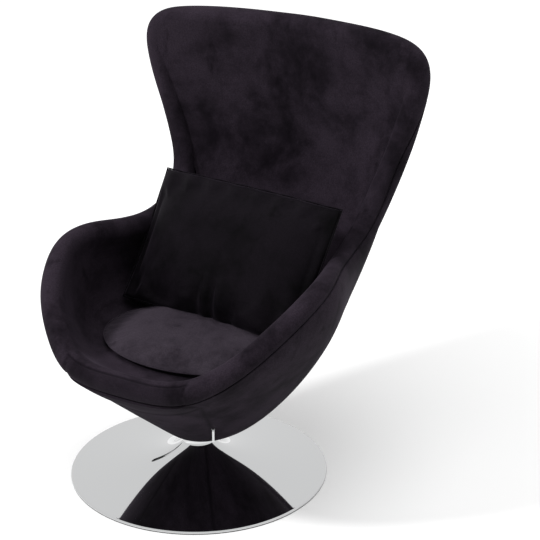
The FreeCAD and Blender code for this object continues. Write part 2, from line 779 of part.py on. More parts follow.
def lever_slot():
    """The slit in the wall and its fabric that the lever passes through and swings in."""
    run = LEVER_KNEE - Vec(LEVER_BEND_X, 0, LEVER_Z)
    length = run.Length
    run.normalize()
    swing = Vec(run.z, 0, -run.x)
    if swing.x > 0:
        swing = -swing
    inner_side = Vec(LEVER_BEND_X, 0, LEVER_Z) + run * (length * 0.5) - swing * (LEVER_RADIUS + 4)
    corners = [
        inner_side,
        inner_side + run * length,
        inner_side + run * length + swing * LEVER_SLOT_LENGTH,
        inner_side + swing * LEVER_SLOT_LENGTH,
    ]
    face = Part.Face(Part.makePolygon(corners + corners[:1]))
    face.translate(ALONG_Y * (-LEVER_SLOT_WIDTH / 2))
    return face.extrude(ALONG_Y * LEVER_SLOT_WIDTH)


def lever_hub():
    """The plastic block that clips round the rod and turns on the pin."""
    half_width = CHANNEL_INSIDE_WIDTH / 2 - LAYER_GAP
    low = LEVER_PIN_Z - LEVER_PIN_RADIUS - LEVER_PIN_GAP
    block = Part.makeBox(
        HUB_LENGTH,
        2 * half_width,
        HUB_HEIGHT,
        Vec(LEVER_PIVOT_X - HUB_LENGTH / 2, -half_width, low),
    )
    bore = Part.makeCylinder(
        LEVER_RADIUS + RUNNING_GAP,
        HUB_LENGTH + 2,
        Vec(LEVER_PIVOT_X - HUB_LENGTH / 2 - 1, 0, LEVER_Z),
        ALONG_X,
    )
    return block.cut(bore).cut(lever_pin(RUNNING_GAP))


def lever_pin(extra=0.0):
    half = CHANNEL_INSIDE_WIDTH / 2 + PLATE_THICKNESS + 1.5
    return Part.makeCylinder(
        LEVER_PIN_RADIUS + extra,
        2 * half,
        Vec(LEVER_PIVOT_X, -half, LEVER_PIN_Z),
        ALONG_Y,
    )


def lever_cap():
    """The push-on cap over the lever's outer end."""
    run = LEVER_END - LEVER_KNEE
    run.normalize()
    start = LEVER_END - run * (LEVER_CAP_LENGTH - LEVER_CAP_END)
    cap = Part.makeCylinder(LEVER_CAP_RADIUS, LEVER_CAP_LENGTH, start, run)
    rims = [edge for edge in cap.Edges if edge.Closed and edge.isClosed()]
    outer_rims = [edge for edge in rims if abs(edge.CenterOfMass.x - start.x) > 1]
    cap = cap.makeChamfer(LEVER_CAP_CHAMFER, outer_rims)
    depth = LEVER_CAP_LENGTH - LEVER_CAP_END
    return cap.cut(Part.makeCylinder(LEVER_RADIUS + RUNNING_GAP, depth, start, run))


def cushion_grid(side):
    """Points on one face of the cushion, thick in the middle and thin at the seam."""
    across_count = 13
    up_count = 9
    grid = []
    for i in range(across_count):
        u = 2 * i / (across_count - 1) - 1
        row = []
        for j in range(up_count):
            v = 2 * j / (up_count - 1) - 1
            x = u * (CUSHION_WIDTH / 2 - CUSHION_SIDE_DRAW * (1 - v * v))
            z = v * (CUSHION_HEIGHT / 2 - CUSHION_SIDE_DRAW * (1 - u * u))
            crown = ((1 - u ** 4) * (1 - v ** 4)) ** CUSHION_FULLNESS
            half = CUSHION_EDGE_HALF + (CUSHION_THICKNESS / 2 - CUSHION_EDGE_HALF) * crown
            row.append(Vec(x, side * half, z))
        grid.append(row)
    return grid


def lumbar_cushion():
    """The loose pillow: two crowned faces joined by a narrow seamed edge."""
    faces = []
    borders = []
    for side in (-1, 1):
        surface = Part.BSplineSurface()
        surface.interpolate(cushion_grid(side))
        faces.append(surface.toShape())
        low_u, high_u, low_v, high_v = surface.bounds()
        borders.append([
            surface.uIso(low_u),
            surface.uIso(high_u),
            surface.vIso(low_v),
            surface.vIso(high_v),
        ])
    for front, back in zip(borders[0], borders[1]):
        faces.append(Part.makeRuledSurface(front.toShape(), back.toShape()))
    pillow = sewn_solid(faces)
    pillow.rotate(Vec(0, 0, 0), ALONG_X, -CUSHION_LEAN_DEGREES)
    pillow.rotate(Vec(0, 0, 0), UP, CUSHION_TURN_DEGREES)
    pillow.translate(CUSHION_CENTRE)
    return pillow


def along_pulls(pulls, t):
    """A point t of the way along a curve drawn by four pull points."""
    a, b, c, d = pulls
    s = 1 - t
    return a * s ** 3 + b * (3 * s * s * t) + c * (3 * s * t * t) + d * t ** 3


def zip_place(ribs):
    """Where the slider sits on the side seam: its place, and the ways across, out and up."""
    rib = ribs[ZIP_RIB]
    pulls = outside_pulls(rib, -LAYER_GAP)
    place = along_pulls(pulls, ZIP_SHARE)
    up_wall = along_pulls(pulls, ZIP_SHARE + 0.01) - place
    up_wall.normalize()
    across = UP.cross(heading(rib))
    return place, across, across.cross(up_wall), up_wall


def turned(shape, across, out, up, place):
    """A piece drawn facing -Y at the origin, turned to face outwards and moved to its place."""
    shape.Placement = FreeCAD.Placement(place, FreeCAD.Rotation(across, -out, up, "XZY"))
    return shape


def pin_place(ribs):
    place, _, out, _ = zip_place(ribs)
    return place + out * PULLER_PIN_REACH


def pin_cylinder(radius, half_length):
    return Part.makeCylinder(radius, 2 * half_length, Vec(-half_length, 0, 0), ALONG_X)


def zip_slider(ribs):
    """The slider body with two lugs and the pin between them."""
    slider = Part.makeBox(
        SLIDER_WIDTH,
        SLIDER_THICKNESS,
        SLIDER_LENGTH,
        Vec(-SLIDER_WIDTH / 2, PULLER_PIN_REACH - SLIDER_THICKNESS, -SLIDER_LENGTH / 2),
    )
    gap = PULLER_WIDTH / 2 + LAYER_GAP
    for x in (-gap - LUG_THICKNESS, gap):
        corner = Vec(x, -PULLER_EYE_RADIUS, -PULLER_EYE_RADIUS)
        depth = PULLER_PIN_REACH - SLIDER_THICKNESS + PULLER_EYE_RADIUS
        slider = slider.fuse(Part.makeBox(LUG_THICKNESS, depth, 2 * PULLER_EYE_RADIUS, corner))
    slider = slider.fuse(pin_cylinder(PULLER_PIN_RADIUS, gap + LUG_THICKNESS / 2))
    _, across, out, up_wall = zip_place(ribs)
    return turned(slider, across, out, up_wall, pin_place(ribs))


def zip_puller(ribs):
    """The tab that hangs from the slider's pin by a rolled eye."""
    half = PULLER_WIDTH / 2
    tab = Part.makeBox(
        PULLER_WIDTH,
        PULLER_THICKNESS,
        PULLER_LENGTH,
        Vec(-half, -PULLER_THICKNESS / 2, -PULLER_LENGTH),
    )
    eye = pin_cylinder(PULLER_EYE_RADIUS, half)
    puller = tab.fuse(eye).cut(pin_cylinder(PULLER_PIN_RADIUS + RUNNING_GAP, PULLER_WIDTH))
    return turned(puller, zip_place(ribs)[1], heading(ribs[ZIP_RIB]), UP, pin_place(ribs))


def seat_pieces(ribs):
    slot = lever_slot()
    pieces = cover_panels(ribs, slot)
    pieces["moulded_shell"] = moulded_shell(ribs, slot)
    pieces["board_ledge"] = board_ledge(ribs)
    pieces["rim_roll"] = rim_roll(ribs)
    pieces["inner_padding"] = inner_padding(ribs)
    pieces["seat_pad"] = seat_pad()
    pieces["seat_board"] = seat_board(ribs)
    pieces["tee_nuts"] = tee_nuts()
    pieces["mechanism_frame"] = mechanism_frame()
    pieces["mechanism_bolts"] = mechanism_bolts()
    pieces["bolt_washers"] = bolt_washers()
    pieces["taper_socket"] = taper_socket()
    pieces["gas_cylinder"] = gas_cylinder()
    pieces["lever_pin"] = lever_pin()
    pieces["lumbar_cushion"] = lumbar_cushion()
    pieces["zip_slider"] = zip_slider(ribs)
    pieces["zip_puller"] = zip_puller(ribs)
    return pieces


def moving_pieces():
    return {
        "lever_rod": lever_rod(),
        "lever_hub": lever_hub(),
        "lever_cap": lever_cap(),
        "release_button": release_button(),
        "piston_rod": piston_rod(),
        "rod_clip": rod_clip(),
        "upper_race": upper_race(),
        "rubber_buffer": rubber_buffer(),
    }


def base_pieces():
    return {
        "trumpet_base": trumpet_base(),
        "base_plate": base_plate(),
        "ballast_plate": ballast_plate(),
        "foot_disc": foot_disc(),
        "column_tube": column_tube(),
        "guide_bush": guide_bush(),
        "neck_ring": neck_ring(),
        "lower_race": lower_race(),
        "bearing_cage": bearing_cage(),
    }


def write_parts():
    os.makedirs("parts", exist_ok=True)
    ribs = shell_ribs()
    pieces = seat_pieces(ribs)
    pieces.update(moving_pieces())
    pieces.update(base_pieces())
    for name, shape in pieces.items():
        shape.exportStep("parts/" + name + ".step")


write_parts()
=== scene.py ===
import json
import math

import bmesh
import bpy
import numpy as np
from mathutils import Matrix, Vector


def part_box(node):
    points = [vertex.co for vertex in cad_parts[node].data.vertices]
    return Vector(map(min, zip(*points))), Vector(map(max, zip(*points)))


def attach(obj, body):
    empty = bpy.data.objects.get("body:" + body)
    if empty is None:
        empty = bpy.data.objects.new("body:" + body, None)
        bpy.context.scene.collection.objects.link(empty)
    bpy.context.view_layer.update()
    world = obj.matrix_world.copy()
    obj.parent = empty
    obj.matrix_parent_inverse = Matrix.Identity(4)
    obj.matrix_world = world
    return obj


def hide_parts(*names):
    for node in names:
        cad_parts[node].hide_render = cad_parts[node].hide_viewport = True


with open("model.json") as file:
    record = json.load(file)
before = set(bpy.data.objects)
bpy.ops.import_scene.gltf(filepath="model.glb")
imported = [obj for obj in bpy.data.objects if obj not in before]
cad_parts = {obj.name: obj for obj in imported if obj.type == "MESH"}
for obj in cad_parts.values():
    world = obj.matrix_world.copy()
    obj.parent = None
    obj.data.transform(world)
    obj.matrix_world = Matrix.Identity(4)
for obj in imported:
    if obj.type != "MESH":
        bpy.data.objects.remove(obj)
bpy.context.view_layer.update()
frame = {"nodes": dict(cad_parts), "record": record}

# A pod chair: velvet seat shell with a padded edge, oval pad and loose pillow, on a gas
# column in a chromed trumpet base. Metres, +Z up, the chair faces -Y.

# Padded edge of the seat: middle of the rounded edge and the belly below it, +X half,
# from the front middle to the back middle
EDGE_HALF = np.array([
    (0.000, -0.248, 0.292),
    (0.126, -0.236, 0.304),
    (0.200, -0.192, 0.344),
    (0.250, -0.140, 0.394),
    (0.286, -0.024, 0.454),
    (0.252, 0.112, 0.448),
    (0.228, 0.240, 0.462),
    (0.238, 0.324, 0.544),
    (0.290, 0.342, 0.704),
    (0.306, 0.338, 0.824),
    (0.240, 0.340, 0.856),
    (0.000, 0.362, 0.864),
])
BELLY_HALF = np.array([
    (0.000, -0.218, 0.260),
    (0.126, -0.192, 0.274),
    (0.210, -0.132, 0.298),
    (0.264, -0.066, 0.320),
    (0.304, 0.074, 0.348),
    (0.292, 0.172, 0.376),
    (0.258, 0.256, 0.408),
    (0.230, 0.318, 0.430),
    (0.210, 0.376, 0.442),
    (0.196, 0.420, 0.448),
    (0.136, 0.466, 0.452),
    (0.000, 0.502, 0.456),
])
ROLL_RADIUS = 0.024
BELLY_CENTRE_Y = 0.060
SHELL_FOOT_RADIUS = 0.048
SHELL_FOOT_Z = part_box("cover_back")[0][2]
FOOT_REACH_FRONT = 0.004
FOOT_REACH_BACK = 0.157
COVER_THICKNESS = 0.0025
PADDING_DEPTH = 0.0114
LAYER_GAP = 0.0003

# Seams of the front panel, seen from the front
PANEL_TOP_HALF = 0.134
PANEL_LOW_HALF = 0.150
PANEL_LOW_Z = 0.275
PANEL_MIDDLE_Z = 0.228
PANEL_SLOPE = (PANEL_LOW_HALF - PANEL_TOP_HALF) / (EDGE_HALF[0][2] - PANEL_LOW_Z)
PANEL_SAG = PANEL_LOW_Z - PANEL_MIDDLE_Z
PANEL_ARC_RADIUS = (PANEL_LOW_HALF ** 2 + PANEL_SAG ** 2) / (2 * PANEL_SAG)
PANEL_ARC_Z = PANEL_MIDDLE_Z + PANEL_ARC_RADIUS
UNDER_HALF = 0.090
UNDER_Z = 0.144
PANEL_TOP_ANGLE = math.radians(112)
PANEL_BACK_Y = -0.10
PANEL_SWELL = 0.0040
PANEL_SWELL_REACH = 0.018
FAR_FROM_SEAM = 1.0

# Seam grooves, painted shade darkening the velvet in a seam, and how dark the pile lies on the front
# panel
SEAM_DEPTH = 0.0026
SEAM_WIDTH = 0.0030
SEAM_SPREAD = 0.12
# Painted shade: how much darker the velvet is painted along a seam, where the groove lies in shade
SEAM_SHADE = 0.8
PANEL_DARK = 0.45

# Outside fabric: its grid, how far it stands off the shell, and its puckers
COVER_RIBS = 600
COVER_ROWS = 104
COVER_BACK_ROWS = 60
COVER_SEAM_DEPTH = 0.0005
COVER_EASE = 0.0009
COVER_EASE_SHARE = 0.1
PUCKER = 0.0005
PUCKER_SIZE = 0.05
PUCKER_SEED = 3

# Padded inside and edge: its grid, and the soft bumps of the edge and of the wall
LINING_RIBS = 560
LINING_SIDE_ROWS = 12
LINING_SIDE_START = 0.45
ROLL_ROWS = 48
WALL_ROWS = 96
DECK_SHARES = (0.2, 0.5, 0.8, 0.97)
UNDERSIDE_SHARES = (0.97, 0.5)
ROLL_BUMPS = 0.0008
ROLL_BUMP_SIZE = 0.11
ROLL_BUMP_SEED = 11
WALL_BUMPS = 0.0014
WALL_BUMP_SIZE = 0.13
WALL_BUMP_SEED = 5
BUMP_WAVES = 8
NO_LENGTH = 1e-9

# Seat deck, oval pad
DECK_Z = 0.284
PAD_HALF_WIDTH = 0.205
PAD_HALF_DEPTH = 0.164
PAD_CENTRE_Y = 0.008
PAD_SNUG = 0.997
PAD_GRID = 81
PAD_SEAM_SHARE = 0.32
PAD_CROWN_SHARE = 0.60
PAD_CROWN_POWER = 5
PAD_HEM_START = 0.9
PAD_HEM_WIDTH = 0.1
PAD_PIPING = 0.0012
PAD_SWELL_CAP = 0.006
HELD_MARGIN = 0.0001
DECK_MARGIN = 0.002
WALL_FOOT_PULL = 0.060
WALL_FOOT_SHARE = 0.33
BOARD_TOP_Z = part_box("seat_board")[1][2]
PAD_LOW_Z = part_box("seat_pad")[0][2]
PAD_HIGH_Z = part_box("seat_pad")[1][2]

# Pillow
PILLOW_WIDTH = 0.450
PILLOW_HEIGHT = 0.290
PILLOW_THICKNESS = 0.112
PILLOW_COLUMNS = 97
PILLOW_ROWS = 65
PILLOW_SIDE_DRAW = 0.010
PILLOW_FULLNESS = 0.5
PILLOW_SLACK = 0.98
LOW_FOLDS = 0.0060
LOW_FOLD_REACH = 0.30
LOW_FOLD_REACH_VARIES = 0.22
LOW_FOLD_AT = -0.86
HIGH_FOLDS = 0.0028
HIGH_FOLD_REACH = 0.16
HIGH_FOLD_AT = 0.93
PILLOW_PIPING = 0.0017
PILLOW_SWELL_CAP = 0.012
PIPING_SIDES = 8
PILLOW_CENTRE = np.array((-0.002, 0.132, 0.4311))
PILLOW_LEAN = math.radians(32)
PILLOW_TURN = math.radians(-6)

# Cloth simulation
AIR_PRESSURE = 4.0
CLOTH_FRAMES = 20
CLOTH_QUALITY = 5
CLOTH_STRETCH = 12
CLOTH_BENDING = 0.6

# Base and lever
BASE_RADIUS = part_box("trumpet_base")[1][0]
BASE_LIP_Z = 0.006
BASE_LOW_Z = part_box("trumpet_base")[0][2]
NECK_TOP_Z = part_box("trumpet_base")[1][2]
NECK_RADIUS = 0.0324
NECK_FOOT_Z = 0.070
FLARE_POWER = 0.3
BASE_SHEET = 0.0015
LIP_ROUND = 0.004
LIP_ROWS = 9
TRUMPET_ROWS = 90
TRUMPET_SIDES = 256
TRUMPET_SHARP_ANGLE = math.radians(40)
LEVER_RADIUS = 0.0045
LEVER_ROUTE = np.array([
    (0.010, 0, 0.2128),
    (-0.058, 0, 0.2128),
    (-0.112, 0, 0.104),
    (-0.160, 0, 0.098),
])
LEVER_BEND = 0.024
LEVER_SIDES = 32
LEVER_SHARP_ANGLE = math.radians(50)
BEND_POINTS = 12
SLOT_WIDTH = 0.016
SLOT_LENGTH = 0.034
SLOT_MARGIN = 0.004
NEARLY_UPRIGHT = 0.9

# Velvet: patches and streaks in which the pile lies one way, and the grain of the pile
CLOUDS = {"scale": 6.0, "detail": 9.0, "stretch": (1, 1, 1), "low": 0.30, "high": 0.60}
STREAKS = {"scale": 15.0, "detail": 6.0, "stretch": (1, 1, 0.35), "low": 0.56, "high": 0.70}
PILE = {"scale": 420.0, "detail": 2.0, "stretch": (1, 1, 1), "low": 0.30, "high": 0.70}
STREAK_STRENGTH = 0.75
PILE_STRENGTH = 0.5
PILE_BUMP = 0.25
PILE_HEIGHT = 0.0004
NOISE_ROUGHNESS = 0.68
NOISE_DISTORTION = 0.25
SHEEN_TINT = (0.60, 0.50, 0.66)
SHEEN_ROUGHNESS = 0.3
VELVET_SPECULAR = 0.06

# Paper floor, from the first ring round the chair outwards
FLOOR_RADIUS = 40.0
FLOOR_FIRST_RING = 0.5
FLOOR_RINGS = 12
FLOOR_SIDES = 96
PAPER_COLOR = (0.80, 0.80, 0.80)

# Glow of the paper as the camera and mirror images show it, near the chair and far from it
PAPER_GLOW = 0.20
FAR_GLOW = 0.62
GLOW_NEAR = 1.0
GLOW_FAR = 2.6
WORLD_LIGHT = 0.50

# Lamps: name, place, the point it is aimed at, size across and power in watts
LAMPS = (
    ("key", (-1.9, -1.9, 2.6), (0, 0.05, 0.4), 0.5, 95),
    ("top", (0.1, -0.2, 3.2), (0, 0.05, 0.4), 2.4, 40),
    ("rim", (1.4, 2.0, 2.4), (0, 0.1, 0.5), 1.6, 25),
)

# Camera, worked out from the base's rim and the seat's outline in the photograph
CAMERA_PLACE = (1.608, -2.433, 1.613)
CAMERA_HEADING = math.radians(30.57)
CAMERA_PITCH = math.radians(21.87)
SENSOR_WIDTH = 36.0
FRAME_WIDTH = 540
FOCAL_PIXELS = 1587
CLIP_END = 50


def closed_half(half):
    """Both halves of a row of stations, the -X half being the +X half mirrored."""
    mirrored = half[1:-1][::-1] * (-1, 1, 1)
    return np.vstack([half, mirrored])


def loop_spline(points, knots, at):
    """Periodic cubic spline: per span, a cubic whose second derivatives meet at the knots.

    Returns the points and the first derivatives at the wanted parameters.
    """
    count = len(points)
    span = np.diff(knots)
    step = (np.roll(points, -1, axis=0) - points) / span[:, None]
    before = np.roll(span, 1)
    system = np.diag(2 * (before + span))
    index = np.arange(count)
    system[index, (index + 1) % count] += span
    system[index, (index - 1) % count] += before
    second = np.linalg.solve(system, 6 * (step - np.roll(step, 1, axis=0)))
    cell = np.clip(np.searchsorted(knots, at, side="right") - 1, 0, count - 1)
    after = (cell + 1) % count
    h = span[cell][:, None]
    a = (knots[cell + 1] - at)[:, None] / h
    b = 1 - a
    value = a * points[cell] + b * points[after]
    value += ((a ** 3 - a) * second[cell] + (b ** 3 - b) * second[after]) * h * h / 6
    slope = (points[after] - points[cell]) / h
    slope += ((3 * b * b - 1) * second[after] - (3 * a * a - 1) * second[cell]) * h / 6
    return value, slope


def seat_ribs(shares):
    """Ribs of the seat at shares of the way round: edge, belly, and the edge's own frame."""
    edges = closed_half(EDGE_HALF)
    bellies = closed_half(BELLY_HALF)
    chords = np.linalg.norm(np.roll(edges, -1, axis=0) - edges, axis=1)
    knots = np.concatenate([[0.0], np.cumsum(np.sqrt(chords))])
    at = np.mod(shares, 1.0) * knots[-1]
    edge, along = loop_spline(edges, knots, at)
    belly, _ = loop_spline(bellies, knots, at)
    along /= np.linalg.norm(along, axis=1)[:, None]
    up = edge - belly
    up -= along * (up * along).sum(axis=1)[:, None]
    up /= np.linalg.norm(up, axis=1)[:, None]
    turn = np.arctan2(belly[:, 0], BELLY_CENTRE_Y - belly[:, 1])
    middle = (FOOT_REACH_BACK + FOOT_REACH_FRONT) / 2
    swing = (FOOT_REACH_BACK - FOOT_REACH_FRONT) / 2
    return {
        "edge": edge,
        "belly": belly,
        "up": up,
        "out": np.cross(along, up),
        "heading": np.column_stack([np.sin(turn), -np.cos(turn), np.zeros(len(turn))]),
        "reach": (middle - swing * np.cos(turn))[:, None],
    }


def curve_of_pulls(a, b, c, d, t):
    """Cubic pulled by four points: (1-t)^3 a + 3(1-t)^2 t b + 3(1-t) t^2 c + t^3 d."""
    t = np.asarray(t)[:, None, None]
    s = 1 - t
    return a * s ** 3 + b * (3 * s * s * t) + c * (3 * s * t * t) + d * t ** 3


def outside_wall(ribs, t, depth):
    """Rows of the outside wall, t from the foot to the edge, depth below the fabric."""
    foot = ribs["heading"] * SHELL_FOOT_RADIUS + (0, 0, SHELL_FOOT_Z + depth)
    side = ribs["out"] * (ROLL_RADIUS - depth)
    pull = foot + ribs["heading"] * ribs["reach"]
    return curve_of_pulls(foot, pull, ribs["belly"] + side, ribs["edge"] + side, t)


def inside_wall(ribs, t):
    """Rows of the inside wall, t from the rounded edge down to the seat deck."""
    side = ribs["out"] * ROLL_RADIUS
    belly = ribs["belly"]
    turn = np.arctan2(belly[:, 0] / PAD_HALF_WIDTH, (PAD_CENTRE_Y - belly[:, 1]) / PAD_HALF_DEPTH)
    across = (PAD_HALF_WIDTH + DECK_MARGIN) * np.sin(turn)
    back = PAD_CENTRE_Y - (PAD_HALF_DEPTH + DECK_MARGIN) * np.cos(turn)
    foot = np.column_stack([across, back, np.full(len(turn), DECK_Z)])
    outward = foot - (0, PAD_CENTRE_Y, DECK_Z)
    outward /= np.linalg.norm(outward, axis=1)[:, None]
    top = ribs["edge"] - side
    length = np.linalg.norm(top - foot, axis=1)
    pull = np.minimum(WALL_FOOT_PULL, length * WALL_FOOT_SHARE)[:, None]
    return curve_of_pulls(top, belly - side, foot + outward * pull, foot, t)


def roll_rows(ribs, angles, radius):
    """Rows round the edge roll: edge + radius (cos angle out + sin angle up)."""
    angles = np.asarray(angles)[:, None, None]
    middle = ribs["edge"] + ribs["up"] * LAYER_GAP
    return middle + radius * (np.cos(angles) * ribs["out"] + np.sin(angles) * ribs["up"])


def grid_faces(rows, columns, close_rows, close_columns):
    """Quads between neighbours of a grid of points, wrapped round where it is closed."""
    i = np.arange(rows if close_rows else rows - 1)
    j = np.arange(columns if close_columns else columns - 1)
    i, j = np.meshgrid(i, j, indexing="ij")
    down = (i + 1) % rows
    right = (j + 1) % columns
    corners = [(i, j), (i, right), (down, right), (down, j)]
    quads = np.stack([row * columns + column for row, column in corners], axis=-1)
    return quads.reshape(-1, 4)


def surface_normals(rows, least=0.0):
    """Unit normals of rows that go round a body; least is added to each length first."""
    normal = np.cross(np.roll(rows, -1, axis=1) - np.roll(rows, 1, axis=1), np.gradient(rows, axis=0))
    return normal / (np.linalg.norm(normal, axis=2)[..., None] + least)


def mesh_piece(name, points, faces, body, material):
    """A smooth piece from points and faces, riding on a body of the frame."""
    mesh = bpy.data.meshes.new(name)
    mesh.from_pydata(points.reshape(-1, 3).tolist(), [], faces)
    mesh.update()
    mesh.shade_smooth()
    piece = bpy.data.objects.new(name, mesh)
    bpy.context.scene.collection.objects.link(piece)
    piece.data.materials.append(material)
    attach(piece, body)
    return piece


def ring_body(name, rows, body, material):
    """A closed body from rows that go once round it and back to the first row."""
    count, columns = rows.shape[:2]
    faces = grid_faces(count, columns, True, True)
    return mesh_piece(name, rows, faces.tolist(), body, material)


def capped_body(name, rows, body, material):
    """A closed body from rings of points, its first and last ring closed to a middle."""
    count, columns = rows.shape[:2]
    middles = np.stack([rows[0].mean(axis=0), rows[-1].mean(axis=0)])
    points = np.vstack([rows.reshape(-1, 3), middles])
    faces = grid_faces(count, columns, False, True).tolist()
    first = count * columns
    for index in range(columns):
        following = (index + 1) % columns
        faces.append((following, index, first))
        last_row = (count - 1) * columns
        faces.append((last_row + index, last_row + following, first + 1))
    return mesh_piece(name, points, faces, body, material)


def tube_rows(path, radius, sides, closed):
    """Rings of a round tube along a path: path + radius (cos a normal + sin a binormal)."""
    if closed:
        along = np.roll(path, -1, axis=0) - np.roll(path, 1, axis=0)
    else:
        along = np.gradient(path, axis=0)
    along /= np.linalg.norm(along, axis=1)[:, None]
    upright = np.abs(along[:, 2:]) > NEARLY_UPRIGHT
    reference = np.where(upright, (1.0, 0.0, 0.0), (0.0, 0.0, 1.0))
    normal = np.cross(reference, along)
    normal /= np.linalg.norm(normal, axis=1)[:, None]
    binormal = np.cross(along, normal)
    angles = np.linspace(0, 2 * np.pi, sides, endpoint=False)[None, :, None]
    around = np.cos(angles) * normal[:, None] + np.sin(angles) * binormal[:, None]
    return path[:, None] + radius * around


def smooth_noise(points, size, seed):
    """Soft bumps between -1 and 1: the mean of sin(2 pi pace (point . way) / size + shift)."""
    source = np.random.default_rng(seed)
    total = np.zeros(points.shape[:-1])
    for _ in range(BUMP_WAVES):
        way = source.normal(size=3)
        way /= np.linalg.norm(way)
        pace = source.uniform(0.7, 1.4)
        shift = source.uniform(0, 6.28)
        total += np.sin(points @ way * (2 * np.pi / size) * pace + shift)
    return total / BUMP_WAVES


# Materials


def group_socket(tree, name, kind, way, value=None):
    """Adds an input or an output to a node group, with its value where one is given."""
    socket = tree.interface.new_socket(name, in_out=way, socket_type=kind)
    if value is not None:
        socket.default_value = value


def noise_mask(nodes, links, place, scale, detail, stretch, low, high):
    """Noise, and a soft-edged mask from it: 0 below the low value, 1 above the high one."""
    mapping = nodes.new("ShaderNodeMapping")
    mapping.inputs["Scale"].default_value = stretch
    links.new(place, mapping.inputs["Vector"])
    noise = nodes.new("ShaderNodeTexNoise")
    noise.inputs["Scale"].default_value = scale
    noise.inputs["Detail"].default_value = detail
    noise.inputs["Roughness"].default_value = NOISE_ROUGHNESS
    noise.inputs["Distortion"].default_value = NOISE_DISTORTION
    links.new(mapping.outputs["Vector"], noise.inputs["Vector"])
    mask = nodes.new("ShaderNodeMapRange")
    mask.interpolation_type = "SMOOTHSTEP"
    mask.inputs["From Min"].default_value = low
    mask.inputs["From Max"].default_value = high
    links.new(noise.outputs["Fac"], mask.inputs["Value"])
    return noise, mask


def color_blend(nodes, links, factor, first, second):
    """A mix of two colours by a mask."""
    blend = nodes.new("ShaderNodeMix")
    blend.data_type = "RGBA"
    links.new(factor, blend.inputs["Factor"])
    links.new(first, blend.inputs[6])
    links.new(second, blend.inputs[7])
    return blend.outputs[2]


def nap_group():
    """Velvet nap swept one way and another: cloudy patches where the pile lies light, streaks where
    it lies dark.

    Pile and seam shade is 1 where a panel's pile lies down dark, and where painted shade darkens the
    bottom of its seams.
    """
    tree = bpy.data.node_groups.new("velvet nap and seam shade", "ShaderNodeTree")
    group_socket(tree, "Dark", "NodeSocketColor", "INPUT", (0.02, 0.02, 0.02, 1))
    group_socket(tree, "Light", "NodeSocketColor", "INPUT", (0.08, 0.08, 0.08, 1))
    group_socket(tree, "Pile and seam shade", "NodeSocketFloat", "INPUT", 0.0)
    group_socket(tree, "Color", "NodeSocketColor", "OUTPUT")
    group_socket(tree, "Height", "NodeSocketFloat", "OUTPUT")
    nodes = tree.nodes
    links = tree.links
    inside = nodes.new("NodeGroupInput")
    outside = nodes.new("NodeGroupOutput")
    place = nodes.new("ShaderNodeTexCoord").outputs["Object"]
    dark = inside.outputs["Dark"]
    light = inside.outputs["Light"]
    _, clouds = noise_mask(nodes, links, place, **CLOUDS)
    _, streaks = noise_mask(nodes, links, place, **STREAKS)
    pile, grain = noise_mask(nodes, links, place, **PILE)
    streaks.inputs["To Max"].default_value = STREAK_STRENGTH
    grain.inputs["To Max"].default_value = PILE_STRENGTH
    clouded = color_blend(nodes, links, clouds.outputs["Result"], dark, light)
    streaked = color_blend(nodes, links, streaks.outputs["Result"], clouded, dark)
    grained = color_blend(nodes, links, grain.outputs["Result"], streaked, dark)
    # Painted shade at the seams, and the darker front-panel pile, mixed in by the piece's attribute
    pile_and_seam_shade = color_blend(nodes, links, inside.outputs["Pile and seam shade"], grained, dark)
    links.new(pile_and_seam_shade, outside.inputs["Color"])
    links.new(pile.outputs["Fac"], outside.inputs["Height"])
    return tree


def plain_material(name, color, roughness, metallic=0.0, **extras):
    """A Principled material whose even values sit on the shader's own sockets."""
    material = bpy.data.materials.new(name)
    material.use_nodes = True
    shader = material.node_tree.nodes["Principled BSDF"]
    shader.inputs["Base Color"].default_value = (*color, 1)
    shader.inputs["Roughness"].default_value = roughness
    shader.inputs["Metallic"].default_value = metallic
    for socket, value in extras.items():
        shader.inputs[socket.replace("_", " ")].default_value = value
    return material


def velvet_material(name, nap, dark, light, roughness, sheen):
    """Short-pile velvet: dark pile, swept by the nap, darkened where the piece paints seam shade,
    with a faint sheen at the edges.
    """
    material = plain_material(
        name,
        light,
        roughness,
        Sheen_Weight=sheen,
        Sheen_Roughness=SHEEN_ROUGHNESS,
        Sheen_Tint=(*SHEEN_TINT, 1),
        Specular_IOR_Level=VELVET_SPECULAR,
    )
    tree = material.node_tree
    shader = tree.nodes["Principled BSDF"]
    pile = tree.nodes.new("ShaderNodeGroup")
    pile.node_tree = nap
    pile.inputs["Dark"].default_value = (*dark, 1)
    pile.inputs["Light"].default_value = (*light, 1)
    # The piece's painted seam shade and front-panel pile, read per point
    pile_and_seam_shade = tree.nodes.new("ShaderNodeAttribute")
    pile_and_seam_shade.attribute_name = "pile_and_seam_shade"
    tree.links.new(pile_and_seam_shade.outputs["Fac"], pile.inputs["Pile and seam shade"])
    tree.links.new(pile.outputs["Color"], shader.inputs["Base Color"])
    bump = tree.nodes.new("ShaderNodeBump")
    bump.inputs["Strength"].default_value = PILE_BUMP
    bump.inputs["Distance"].default_value = PILE_HEIGHT
    tree.links.new(pile.outputs["Height"], bump.inputs["Height"])
    tree.links.new(bump.outputs["Normal"], shader.inputs["Normal"])
    return material


